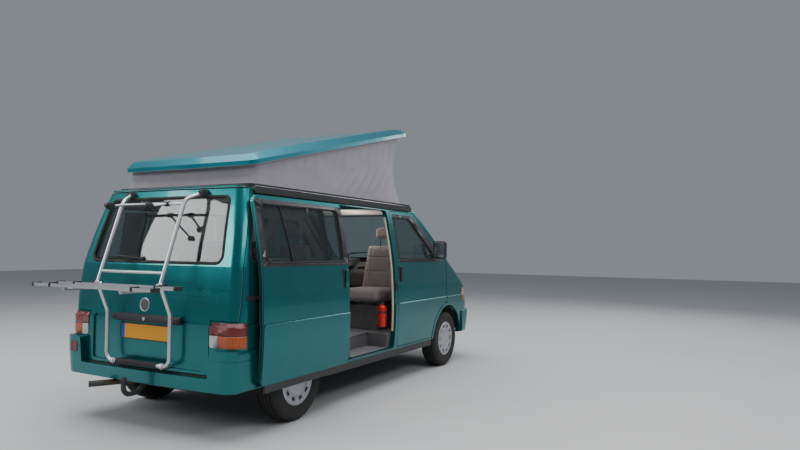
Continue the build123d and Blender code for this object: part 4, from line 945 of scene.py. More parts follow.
def lathe(name: str, profile: Sequence[tuple[float, float]], centre: Vector, axis: Vector, steps: int,
          unit: float = 0.001) -> Piece:
    """Turns a profile about an axis.

    Args:
        name: the piece's name.
        profile: rows of distance from the axis and distance along it.
        centre: the point on the axis that the second column is measured from.
        axis: the axis's direction.
        steps: how many steps a whole turn has.
        unit: the profile's unit in metres, a millimetre if it isn't given.

    Returns:
        The turned piece.
    """
    out = axis.orthogonal().normalized()
    piece = chain(name, [centre + out * (reach * unit) + axis * (along * unit) for reach, along in profile])
    bpy.ops.mesh.spin(steps=steps, angle=2 * math.pi, center=centre, axis=axis)
    bpy.ops.object.mode_set(mode="OBJECT")
    return smooth(clean(piece, 2e-5), 28.0)


def pipe(name: str, points: Sequence[Vector], radius: float, closed: bool = False, straight: bool = False) -> Piece:
    """Runs a round tube along points, as a curve that is then made a mesh.

    Args:
        name: the tube's name.
        points: the points that it runs along.
        radius: its radius.
        closed: whether it runs back to its start.
        straight: whether it runs straight from point to point.

    Returns:
        The tube.
    """
    line = bpy.data.curves.new(name, "CURVE")
    line.dimensions = "3D"
    line.bevel_depth = radius
    line.bevel_resolution = 4
    line.resolution_u = 8
    line.use_fill_caps = True
    spline = line.splines.new("POLY" if straight else "NURBS")
    spline.points.add(len(points) - 1)
    for place, point in zip(spline.points, points):
        place.co = (*point, 1.0)
    spline.use_cyclic_u = closed
    if not straight:
        spline.order_u = 3
        spline.use_endpoint_u = not closed
    piece = bpy.data.objects.new(name, line)
    bpy.context.scene.collection.objects.link(piece)
    hold(piece)
    bpy.ops.object.convert(target="MESH")
    return smooth(settled(name))


def twin(piece: Piece, name: str, shift: Sequence[float] = (0, 0, 0), across: bool = False) -> Piece:
    """Copies a piece with its own mesh, moved or mirrored to the van's other side.

    Args:
        piece: the piece to copy.
        name: the copy's name.
        shift: how far the copy is moved.
        across: whether it is mirrored.

    Returns:
        The copy.
    """
    hold(piece)
    bpy.ops.object.duplicate(linked=False)
    copy = bpy.context.object
    if across:
        copy.scale.y = -1.0
    copy.location = shift
    settled(name)
    if across:
        clean(copy)
    return copy


def joined(name: str, *pieces: Piece) -> Piece:
    """Joins pieces into one."""
    hold(*pieces)
    bpy.ops.object.join()
    return settled(name)


def traced(node: Piece, name: str) -> Piece:
    """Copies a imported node's mesh into a new piece and merges its loose triangles.

    Args:
        node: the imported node.
        name: the new piece's name.

    Returns:
        The new piece.
    """
    hold(node)
    bpy.ops.object.duplicate(linked=False)
    copy = bpy.context.object
    copy.parent = None
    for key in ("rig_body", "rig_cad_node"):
        if key in copy:
            del copy[key]
    copy.data.materials.clear()
    settled(name)
    return edit(copy, everything, lambda: bpy.ops.mesh.remove_doubles(threshold=2e-5))


def sliced(piece: Piece, point: Vector, keep: Vector, fill: bool = False) -> Piece:
    """Cuts a piece by a plane and keeps the side that a direction points to."""
    return edit(piece, everything,
                lambda: bpy.ops.mesh.bisect(plane_co=point, plane_no=keep, use_fill=fill, clear_inner=True))


def outer_skin(piece: Piece, facing: Vector, share: float = 0.45, beyond: float = 0.3) -> Piece:
    """Keeps only the faces of a piece that look one way and lie beyond a distance that way from the middle."""
    return edit(piece, lambda centre, normal: normal.dot(facing) < share or centre.dot(facing) < beyond,
                lambda: bpy.ops.mesh.delete(type="FACE"))


def scored(piece: Piece, point: Vector, across: Vector) -> Piece:
    """Divides a piece's faces along a plane and keeps both sides."""
    return edit(piece, everything, lambda: bpy.ops.mesh.bisect(plane_co=point, plane_no=across))


def landing(node: Piece, start: Vector, way: Vector) -> Vector:
    """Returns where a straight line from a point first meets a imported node.

    Args:
        node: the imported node.
        start: where the line starts.
        way: the way that it runs.

    Returns:
        The point on the node.
    """
    hit, place, _normal, _face = node.ray_cast(start, way)
    if not hit:
        raise LookupError(f"no part of {node.name} lies that way from {tuple(start)}")
    return place


def beside(node: Piece, side: float, station: float, height: float) -> Vector:
    """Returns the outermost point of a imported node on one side, at a station and a height."""
    return landing(node, at(station, side * CLEAR_Y, height), LEFT * -side)


def about(seat: Vector, low: Sequence[float], high: Sequence[float]) -> tuple[Vector, Vector]:
    """Returns two corners that are given from a point."""
    return seat + Vector(low), seat + Vector(high)


def laid_over(node: Piece, name: str, facing: Vector, planes: Sequence[tuple[Vector, Vector]], lift: float,
              beyond: float = 0.3, share: float = 0.45) -> Piece:
    """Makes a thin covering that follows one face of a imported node.

    Args:
        node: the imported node.
        name: the covering's name.
        facing: the way that the covered face looks.
        planes: rows of a point and the direction to keep, which bound the covering.
        lift: its thickness.
        beyond: how far that way from the middle the covered faces lie.
        share: how squarely they look that way.

    Returns:
        The covering.
    """
    piece = outer_skin(traced(node, name), facing, share, beyond)
    for point, keep in planes:
        sliced(piece, point, keep)
    modify(piece, "SOLIDIFY", thickness=lift, offset=1.0)
    return smooth(piece)


def coloured(piece: Piece, finish: Finish, test: Test) -> Piece:
    """Gives the faces that a test passes a further finish.

    Args:
        piece: the piece.
        finish: the further finish.
        test: takes a face's middle and its normal.

    Returns:
        The piece.
    """
    piece.data.materials.append(finish.material())
    for face in piece.data.polygons:
        if test(face.center, face.normal):
            face.material_index = len(piece.data.materials) - 1
    return piece


def stood(piece: Piece, spot: Vector, turn: float) -> Piece:
    """Stands a piece that was made over the origin at a spot, turned about the upright.

    Args:
        piece: the piece.
        spot: where it stands.
        turn: how far it is turned, in radians.

    Returns:
        The piece.
    """
    piece.rotation_mode = "XYZ"
    piece.rotation_euler.z = turn
    piece.location = spot
    hold(piece)
    bpy.ops.object.transform_apply(location=True, rotation=True, scale=True)
    return piece


def seal(node: Piece, name: str, facing: Vector, radius: float) -> Piece:
    """Runs a rubber seal round the outer edge of a pane.

    Args:
        node: the pane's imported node.
        name: the seal's name.
        facing: the way that the pane looks.
        radius: half the seal's width.

    Returns:
        The seal.
    """
    piece = outer_skin(traced(node, name), facing)
    hold(piece)
    bpy.ops.object.mode_set(mode="EDIT")
    bpy.ops.mesh.select_all(action="SELECT")
    bpy.ops.mesh.region_to_loop()
    bpy.ops.mesh.select_all(action="INVERT")
    bpy.ops.mesh.delete(type="EDGE")
    bpy.ops.mesh.select_all(action="SELECT")
    bpy.ops.mesh.delete(type="ONLY_FACE")
    bpy.ops.object.mode_set(mode="OBJECT")
    bpy.ops.object.convert(target="CURVE")
    bpy.context.object.data.bevel_depth = radius
    bpy.context.object.data.bevel_resolution = 3
    bpy.ops.object.convert(target="MESH")
    return smooth(settled(name))


def fitted(piece: Piece, finish: Finish, body: str = "body") -> Piece:
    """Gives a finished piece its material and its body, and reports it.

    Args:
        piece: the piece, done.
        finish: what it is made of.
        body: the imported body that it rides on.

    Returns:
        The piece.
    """
    if not piece.data.materials:
        piece.data.materials.append(finish.material())
    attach(piece, body)
    LOG.info("%s: %d faces on %s", piece.name, len(piece.data.polygons), body)
    return piece


# Sub-assemblies

@dataclass
class Wheels:
    """The four wheels: tyres with a moulded tread, and rims behind silver covers."""

    wheelbase: float = 2.92
    front_track: float = 1.59
    rear_track: float = 1.56
    tyre_radius: float = 0.327
    half_width: float = 0.0975
    window_ring: tuple[float, float] = (0.136, 0.166)
    window_count: int = 10
    steps: int = 120
    block_start: float = 1000.5  # both counts of steps start far above 0, so that int() always rounds down
    ring_start: float = 1000.0

    def build(self) -> None:
        """Makes one wheel and copies it to the other three places."""
        centre = at(self.wheelbase, self.front_track / 2, self.tyre_radius)
        tyre, rim = self.make_tyre(centre), self.make_rim(centre)
        back = (-self.wheelbase, (self.rear_track - self.front_track) / 2, 0)
        rows = (("tyre", tyre, Shades.RUBBER, "tyre"), ("rim", rim, Shades.COVER, "wheel_paint"))
        for kind, first, finish, slot in rows:
            made = {"front_left": first, "rear_left": twin(first, f"{kind}_rear_left_looks", back)}
            for axle in ("front", "rear"):
                made[f"{axle}_right"] = twin(made[f"{axle}_left"], f"{kind}_{axle}_right_looks", across=True)
            for place, piece in made.items():
                fitted(piece, finish, f"wheel_{place}")
                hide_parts(f"{kind}_{place}")

    def polar(self, flat: Vector) -> tuple[float, float]:
        """Returns a point's distance from the wheel's axis, and its turn about it in steps."""
        return math.hypot(flat.x, flat.z), math.atan2(flat.z, flat.x) / (2 * math.pi) * self.steps

    def make_tyre(self, centre: Vector) -> Piece:
        """Turns the tyre and presses its tread in.

        Args:
            centre: the wheel's middle.

        Returns:
            The tyre.
        """
        half, top = self.half_width, self.tyre_radius
        profile = [(0.192, 0.084), (0.203, 0.0885), (0.212, 0.0905), (0.214, 0.0925), (0.219, 0.0925), (0.222, 0.0915),
                   (0.240, 0.0955), (0.262, half), (0.280, 0.0965), (0.284, 0.0975), (0.289, 0.0965), (0.300, 0.0905),
                   (0.312, 0.084), (0.320, 0.0755), (0.3242, 0.064)]
        for middle in (0.052, 0.018):
            profile += [(top - 0.0008, middle + 0.0045), (top - 0.008, middle + 0.0035),
                        (top - 0.008, middle - 0.0035), (top - 0.0006, middle - 0.0045)]
        profile += [(reach, -along) for reach, along in reversed(profile)]
        tyre = lathe("tyre_front_left_looks", profile, centre, LEFT, self.steps, unit=1.0)

        def sipe(place: Vector, _normal: Vector) -> bool:
            """Passes every fifth row of the outer tread blocks, staggered between the two sides.

            Args:
                place: a face's middle.
                _normal: its normal, which is not used.

            Returns:
                Whether the face passes.
            """
            flat = place - centre
            reach, turn = self.polar(flat)
            row = int(turn + self.block_start + (2 if flat.y > 0 else 0)) % 5
            return reach > top - 0.006 and abs(flat.y) > 0.056 and row == 0

        return smooth(edit(tyre, sipe, press(-0.0055)), 28.0)

    def make_rim(self, centre: Vector) -> Piece:
        """Turns the rim with its cover and sinks the ring of windows in it.

        Args:
            centre: the wheel's middle.

        Returns:
            The rim.
        """
        profile = ((0, 0.0945), (0.03, 0.0945), (0.075, 0.093), (0.104, 0.0895), (0.118, 0.0855), (0.1225, 0.081),
                   (0.126, 0.0805), (0.129, 0.084), (0.134, 0.0855), (0.166, 0.0885), (0.170, 0.0895), (0.176, 0.0915),
                   (0.186, 0.093), (0.192, 0.0915), (0.196, 0.088), (0.202, 0.0865), (0.203, 0.083), (0.202, 0.0755),
                   (0.188, 0.069), (0.186, 0.02), (0.177, 0), (0.186, -0.02), (0.188, -0.0695), (0.203, -0.0755),
                   (0.203, -0.0865), (0.198, -0.0885), (0.186, -0.0835), (0.172, -0.073), (0.168, 0.008),
                   (0.15, 0.042), (0.118, 0.046), (0.062, 0.03), (0.062, -0.04), (0.024, -0.04), (0.022, 0.06),
                   (0, 0.06))
        rim = lathe("rim_front_left_looks", profile, centre, LEFT, self.steps, unit=1.0)
        pitch = self.steps // self.window_count
        near, far = self.window_ring

        def ring(wanted: Sequence[int]) -> Test:
            """Returns the test that passes the wanted steps of every pitch in the cover's ring.

            Args:
                wanted: the steps of a pitch that pass.

            Returns:
                The test.
            """
            def passes(place: Vector, normal: Vector) -> bool:
                """Passes a face that lies in the ring at a wanted step."""
                reach, turn = self.polar(place - centre)
                return near < reach < far and normal.y > 0.5 and int(turn + self.ring_start) % pitch in wanted

            return passes

        def blacken() -> None:
            """Gives the chosen faces the second material."""
            rim.active_material_index = 1
            bpy.ops.object.material_slot_assign()

        rim.data.materials.append(Shades.COVER.material())
        rim.data.materials.append(Shades.BLACK.material())
        # The sunk windows' floors are black: they stand for the steel wheel seen through the cover, and the black is
        # painted shade inside the windows.
        edit(rim, ring(range(pitch // 2)), inset(0.0015, depth=0.0), extrude((0, -0.022, 0)), blacken)
        edit(rim, ring((pitch // 2 + 1, pitch - 2)), inset(0.0008, depth=0.0018))
        return smooth(rim, 26.0)


@dataclass
class Lamps:
    """The tail lamps, the headlamps with their corner indicators, and the small lamp in the rear bumper."""

    nodes: dict[str, Piece]
    red_low_z: float = 0.77
    amber_in_y: float = 0.748
    joint: float = 0.0035
    indicator_in_y: float = 0.79

    def build(self) -> None:
        """Makes every lamp."""
        self.make_tail_lamps()
        self.make_front_lamps()
        self.make_fog_lamp()

    def make_tail_lamps(self) -> None:
        """Divides the tail lamps into red, amber and clear fields, with sunk dark joints between them."""
        lamps = traced(self.nodes["tail_lamps"], "tail_lamps_looks")
        half = self.joint / 2
        for offset in (-half, half):
            scored(lamps, UP * (self.red_low_z + offset), UP)
        for side, _ in SIDES:
            for offset in (-half, half):
                scored(lamps, LEFT * (side * (self.amber_in_y + offset)), LEFT)

        def joint(place: Vector, _normal: Vector) -> bool:
            """Passes the narrow faces between the fields.

            Args:
                place: a face's middle.
                _normal: its normal, which is not used.

            Returns:
                Whether the face passes.
            """
            level = abs(place.z - self.red_low_z) < half
            upright = abs(abs(place.y) - self.amber_in_y) < half and place.z < self.red_low_z
            return level or upright

        edit(lamps, lambda place, normal: joint(place, normal) and normal.x < 0.3, press(-0.004))
        lamps.data.materials.append(Shades.RED.material())
        coloured(lamps, Shades.WHITE, lambda place, _: place.z < self.red_low_z and abs(place.y) < self.amber_in_y)
        coloured(lamps, Shades.AMBER, lambda place, _: place.z < self.red_low_z and abs(place.y) > self.amber_in_y)
        coloured(lamps, Shades.BLACK, joint)
        fitted(smooth(lamps), Shades.RED)
        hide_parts("tail_lamps")

    def make_front_lamps(self) -> None:
        """Makes the headlamps clear and their outer corners amber."""
        lamps = traced(self.nodes["front_lamps"], "front_lamps_looks")
        lamps.data.materials.append(Shades.WHITE.material())
        coloured(lamps, Shades.AMBER, lambda place, _: abs(place.y) > self.indicator_in_y)
        fitted(smooth(lamps), Shades.WHITE)
        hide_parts("front_lamps")

    def make_fog_lamp(self) -> None:
        """Sets a small red lamp in the bumper's left corner."""
        seat = landing(self.nodes["rear_bumper"], at(BEHIND, 0.785, 0.583), AHEAD)
        lamp = block("fog_lamp", *about(seat, (-0.007, -0.036, -0.043), (0.012, 0.036, 0.043)))
        edit(lamp, looks(-AHEAD), inset(0.005), shift((0.002, 0, 0)))
        lamp.data.materials.append(Shades.BLACK.material())
        coloured(lamp, Shades.RED, lambda place, normal: normal.x < -0.9 and abs(place.y - seat.y) < 0.03)
        fitted(rounded(lamp, 0.0035, 3), Shades.BLACK)


@dataclass
class WindowEdges:
    """The rubber seals round the panes and the dark surrounds of the side windows."""

    nodes: dict[str, Piece]
    half_seal: float = 0.0105
    lift: float = 0.0016
    frame_low_z: float = 1.262
    frame_top_z: float = 1.776
    door_rear: float = 1.64
    rear_strip: float = 0.046
    slope_foot: tuple[float, float] = (2.878, 1.268)
    slope_top: tuple[float, float] = (2.198, 1.806)
    slope_strip: float = 0.036

    def build(self) -> None:
        """Makes the seals, the surrounds and the divider in the sliding door's window."""
        self.make_seals()
        self.make_surrounds()
        self.make_divider()

    def make_seals(self) -> None:
        """Runs a seal round every pane."""
        panes = (
            ("body_glass", "windscreen_seal", "body", AHEAD),
            ("body_glass", "left_window_seals", "body", LEFT),
            ("body_glass", "right_window_seals", "body", -LEFT),
            ("sliding_door_glass", "sliding_door_seal", "body", -LEFT),
            ("tailgate_glass", "tailgate_seal", "tailgate", -AHEAD),
            ("door_glass_left", "door_seal_left", "front_door_left", LEFT),
            ("door_glass_right", "door_seal_right", "front_door_right", -LEFT),
        )
        for node, name, body, facing in panes:
            wide = self.half_seal * (1.35 if node == "tailgate_glass" else 1.0)
            fitted(seal(self.nodes[node], name, facing, wide), Shades.SEAL, body)

    def make_surrounds(self) -> None:
        """Lays the dark surrounds over the doors round their windows."""
        level = [(UP * self.frame_low_z, UP), (UP * self.frame_top_z, -UP)]
        foot, top = (at(station, 0, z) for station, z in (self.slope_foot, self.slope_top))
        inward = (top - foot).cross(LEFT).normalized()
        slope = (foot + inward * self.slope_strip, inward)
        rear = (at(self.door_rear + self.rear_strip, 0, 0), AHEAD)
        rows = (
            ("sliding_door", "sliding_door_surround", "body", -LEFT, level),
            ("front_door_left", "door_surround_left", "front_door_left", LEFT, [*level, slope, rear]),
            ("front_door_right", "door_surround_right", "front_door_right", -LEFT, [*level, slope, rear]),
        )
        for node, name, body, facing, planes in rows:
            piece = laid_over(self.nodes[node], name, facing, planes, self.lift)
            fitted(piece, Shades.FRAME, body)

    def make_divider(self) -> None:
        """Sets the leaning bar between the sliding door's fixed and sliding panes."""
        glass = self.nodes["sliding_door_glass"]
        rows = ((-0.215, 1.298), (-0.232, 1.4), (-0.27, 1.6), (-0.298, 1.736))
        points = [beside(glass, -1.0, *row) - LEFT * 0.003 for row in rows]
        fitted(pipe("sliding_door_divider", points, 0.0085), Shades.SEAL)
        catch = about(beside(glass, -1.0, 0.06, 1.715), (-0.012, -0.009, -0.02), (0.012, 0.004, 0.02))
        fitted(block("window_catch", *catch, 0.004), Shades.TRIM)


@dataclass
class BodyDetails:
    """The crease along the sides, the door handles, the light line on the roof rails and the striker."""

    nodes: dict[str, Piece]
    crease_z: float = 0.838
    crease_half: float = 0.0068
    handle_z: tuple[float, float] = (1.064, 1.226)
    handle_length: float = 0.076

    def build(self) -> None:
        """Makes the crease strips, the handles, the rails' light line and the striker."""
        runs = (
            ("sliding_door", "body", -1.0, -0.58, 0.572), ("side_right", "body", -1.0, -0.675, 0.40),
            ("side_left", "body", 1.0, -0.675, 1.628), ("front_door_left", "front_door_left", 1.0, 1.648, 2.868),
            ("front_door_right", "front_door_right", -1.0, 1.648, 2.868), ("front_wings", "body", 1.0, 2.892, 3.352),
            ("front_wings", "body", -1.0, 2.892, 3.352),
        )
        for node, body, side, rear, front in runs:
            word = "left" if side > 0 else "right"
            name = f"crease_{node}_{word}" if node == "front_wings" else f"crease_{node}"
            self.make_crease(name, self.nodes[node], body, side, rear, front)
        for side, word in SIDES:
            door = f"front_door_{word}"
            self.make_handle(f"door_handle_{word}", door, door, side, 1.666, Shades.BLACK)
        self.make_handle("sliding_door_handle", "sliding_door", "body", -1.0, 0.476, Shades.PAINT)
        self.make_rail_line()
        self.make_striker()

    def make_crease(self, name: str, node: Piece, body: str, side: float, rear: float, front: float) -> None:
        """Runs a half-round strip along a panel at the crease's height.

        Args:
            name: the strip's name.
            node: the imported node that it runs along.
            body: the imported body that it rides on.
            side: 1 on the left, -1 on the right.
            rear: the station where it starts.
            front: the station where it ends.
        """
        count = max(2, round((front - rear) / 0.12))
        points = [beside(node, side, rear + (front - rear) * step / count, self.crease_z - 0.002)
                  for step in range(count + 1)]
        fitted(pipe(name, points, self.crease_half), Shades.PAINT, body)

    def make_handle(self, name: str, node: str, body: str, side: float, rear: float, grip_finish: Finish) -> None:
        """Lines a handle's pocket and sets its upright grip in it.

        Args:
            name: the handle's name.
            node: the door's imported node.
            body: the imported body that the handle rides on.
            side: 1 on the left, -1 on the right.
            rear: the station of the pocket's rear edge.
            grip_finish: what the grip is made of.
        """
        low, top = self.handle_z
        front, middle = rear + self.handle_length, rear + self.handle_length / 2
        skin = beside(self.nodes[node], side, rear - 0.012, (low + top) / 2).y
        outward = LEFT * side
        cup = block(f"{name}_cup", at(rear + 0.001, skin - side * 0.0125, low + 0.001),
                    at(front - 0.001, skin - side * 0.0005, top - 0.001))
        edit(cup, looks(outward), inset(0.004), extrude(outward * -0.0085), resize((0.86, 1.0, 0.94)))
        fitted(rounded(cup, 0.003, 3), Shades.BLACK, body)
        grip = block(f"{name}_grip", at(middle - 0.006, skin - side * 0.008, low + 0.006),
                     at(front - 0.004, skin + side * 0.014, top - 0.006))
        edit(grip, looks(outward), resize((0.8, 1.0, 0.95)))
        edit(grip, everything, divide(2))
        fitted(rounded(grip, 0.0045, 3), grip_finish, body)

    def make_rail_line(self) -> None:
        """Lays the bright line along the top of each black rail."""
        for side, word in SIDES:
            points = [landing(self.nodes["gutter_rails"], at(station, side * 0.783, 2.4), -UP)
                      for station in (-0.46, 0.2, 0.9, 1.6, 2.12)]
            fitted(pipe(f"rail_line_{word}", points, 0.0045), Shades.ALLOY)

    def make_striker(self) -> None:
        """Sets the sliding door's catch on the pillar ahead of the opening."""
        seat = beside(self.nodes["side_right"], -1.0, 1.606, 1.02)
        corners = about(seat, (-0.018, -0.004, -0.045), (0.018, 0.01, 0.045))
        catch = panel("sliding_door_catch", *corners, -LEFT, ((0.006, -0.003),), 0.003)
        fitted(catch, Shades.BLACK)


@dataclass
class TailgateTrim:
    """What is fixed to the tailgate: grip, lock, round badge place and wiper."""

    nodes: dict[str, Piece]
    grip_y: tuple[float, float] = (-0.385, 0.345)
    badge_at: tuple[float, float] = (0.012, 0.957)
    badge_radius: float = 0.053
    wiper_pivot: tuple[float, float] = (0.1, 1.312)
    pane_low_z: float = 1.3

    def build(self) -> None:
        """Makes each fitting."""
        self.make_grip()
        self.make_badge_place()
        self.make_wiper()

    def skin(self, y: float, z: float) -> Vector:
        """Returns the point of the tailgate's outside at a distance to the left and a height."""
        return landing(self.nodes["tailgate"], at(BEHIND, y, z), AHEAD)

    def make_grip(self) -> None:
        """Makes the long black grip over the plate, with its lock."""
        first, last = self.grip_y
        skin = self.skin(0.0, 0.885).x
        section = ((0.012, 0.824), (-0.014, 0.822), (-0.029, 0.832), (-0.034, 0.85), (-0.028, 0.87),
                   (-0.012, 0.882), (0.008, 0.885))
        outline = [vec(skin + back, first, height) for back, height in section]
        grip = plate("tailgate_grip", outline, LEFT * (last - first))
        edit(grip, lambda _, normal: abs(normal.y) > 0.9, inset(0.006))
        fitted(rounded(grip, 0.006, 3), Shades.BLACK, "tailgate")
        centre = vec(skin - 0.033, (first + last) / 2, 0.852)
        barrel = ((0, 4), (3.5, 4), (3.8, 2.5), (9, 3), (10.5, 5), (12.5, 4.5), (13.5, 0), (13.5, -10), (0, -10))
        fitted(lathe("tailgate_lock", barrel, centre, -AHEAD, 28), Shades.ALLOY, "tailgate")

    def make_badge_place(self) -> None:
        """Makes the bare round place where such a tailgate carries its badge."""
        centre = self.skin(*self.badge_at)
        above = self.skin(self.badge_at[0], self.badge_at[1] + 0.03)
        out = (above - centre).cross(LEFT).normalized()
        r = self.badge_radius
        profile = ((0, 0.0036), (r * 0.4, 0.0034), (r * 0.78, 0.0026), (r * 0.8, 0.0012), (r * 0.84, 0.001),
                   (r * 0.87, 0.0046), (r * 0.93, 0.0062), (r * 0.985, 0.0048), (r, 0.001), (r, -0.004), (0, -0.004))
        badge = lathe("badge_place", profile, centre, out, 72, unit=1.0)
        badge.data.materials.append(Shades.ALLOY.material())
        coloured(badge, Shades.TRIM, lambda place, _: (place - centre).length < r * 0.84)
        fitted(badge, Shades.ALLOY, "tailgate")

    def make_wiper(self) -> None:
        """Makes the wiper that lies along the window's lower edge."""
        y, z = self.wiper_pivot
        glass = self.nodes["tailgate_glass"]

        def over(left: float, up: float, lift: float) -> Vector:
            """Returns a point measured from the pivot and above the pane, or above the panel below it."""
            height = z + up
            spot = landing(glass, at(BEHIND, y + left, max(height, self.pane_low_z)), AHEAD)
            return spot + vec(-lift, 0, min(0.0, height - self.pane_low_z))

        profile = ((0, 22), (9, 21), (13, 16), (17, 8), (21, -12), (0, -12))
        boss = lathe("rear_wiper_boss", profile, over(0, 0, 0.004), -AHEAD, 32)
        fitted(boss, Shades.BLACK, "tailgate")
        rows = (
            ("arm", 0.0055, Shades.BLACK,
             ((0, 0, 0.022), (0.05, 0.004, 0.027), (0.16, 0.012, 0.025), (0.235, 0.014, 0.018))),
            ("blade", 0.0042, Shades.BLACK, ((0.05, 0.016, 0.01), (0.24, 0.018, 0.012), (0.43, 0.016, 0.01))),
            ("lip", 0.0032, Shades.SEAL, ((0.045, 0.016, 0.004), (0.24, 0.018, 0.004), (0.435, 0.016, 0.004))),
        )
        for part, radius, finish, bend in rows:
            made = pipe(f"rear_wiper_{part}", [over(*row) for row in bend], radius)
            fitted(made, finish, "tailgate")


@dataclass
class NumberPlate:
    """A blank number plate with its plain stripe, in a dark holder. Facing is -1 at the rear and 1 at the front."""

    name: str
    node: Piece
    body: str
    facing: float
    low: float
    top: float
    half: float = 0.26
    stripe: float = 0.042
    rim: float = 0.009
    proud: float = 0.01

    def build(self) -> None:
        """Makes the holder and the plate."""
        out = AHEAD * self.facing
        foot, head = (landing(self.node, at(1.5, 0, height) + out * 3.4, -out) for height in (self.low, self.top))
        if (head - foot).x * self.facing > 0.0:
            head.x = foot.x
        holder = plate(f"{self.name}_holder", self.outline(foot, head, self.rim), out * self.proud)
        edit(holder, self.shown, inset(0.006), extrude(out * self.proud * -0.4))
        fitted(rounded(holder, min(0.0025, self.proud * 0.3), 3), Shades.BLACK, self.body)
        lift = out * self.proud * 0.5
        sheet = plate(self.name, self.outline(foot + lift, head + lift, 0.0), out * self.proud * 0.25)
        edge = (self.half - self.stripe) * -self.facing
        scored(sheet, LEFT * edge, LEFT)
        edit(sheet, self.shown, inset(0.0035), extrude(out * 0.0006), inset(0.0018), extrude(out * -0.0005))
        sheet.data.materials.append(Shades.PLATE.material())
        coloured(sheet, Shades.STRIPE, lambda place, _: (place.y - edge) * -self.facing > 0.0)
        fitted(rounded(sheet, 0.0006), Shades.PLATE, self.body)

    def outline(self, foot: Vector, head: Vector, grow: float) -> list[Vector]:
        """Returns the plate's corners, moved out by a margin.

        Args:
            foot: the middle of the lower edge.
            head: the middle of the upper edge.
            grow: the margin.

        Returns:
            The corners in turn.
        """
        half = self.half + grow
        return [foot + vec(0, -half, -grow), foot + vec(0, half, -grow),
                head + vec(0, half, grow), head + vec(0, -half, grow)]

    def shown(self, _centre: Vector, normal: Vector) -> bool:
        """Passes the faces that look away from the van."""
        return normal.x * self.facing > 0.9


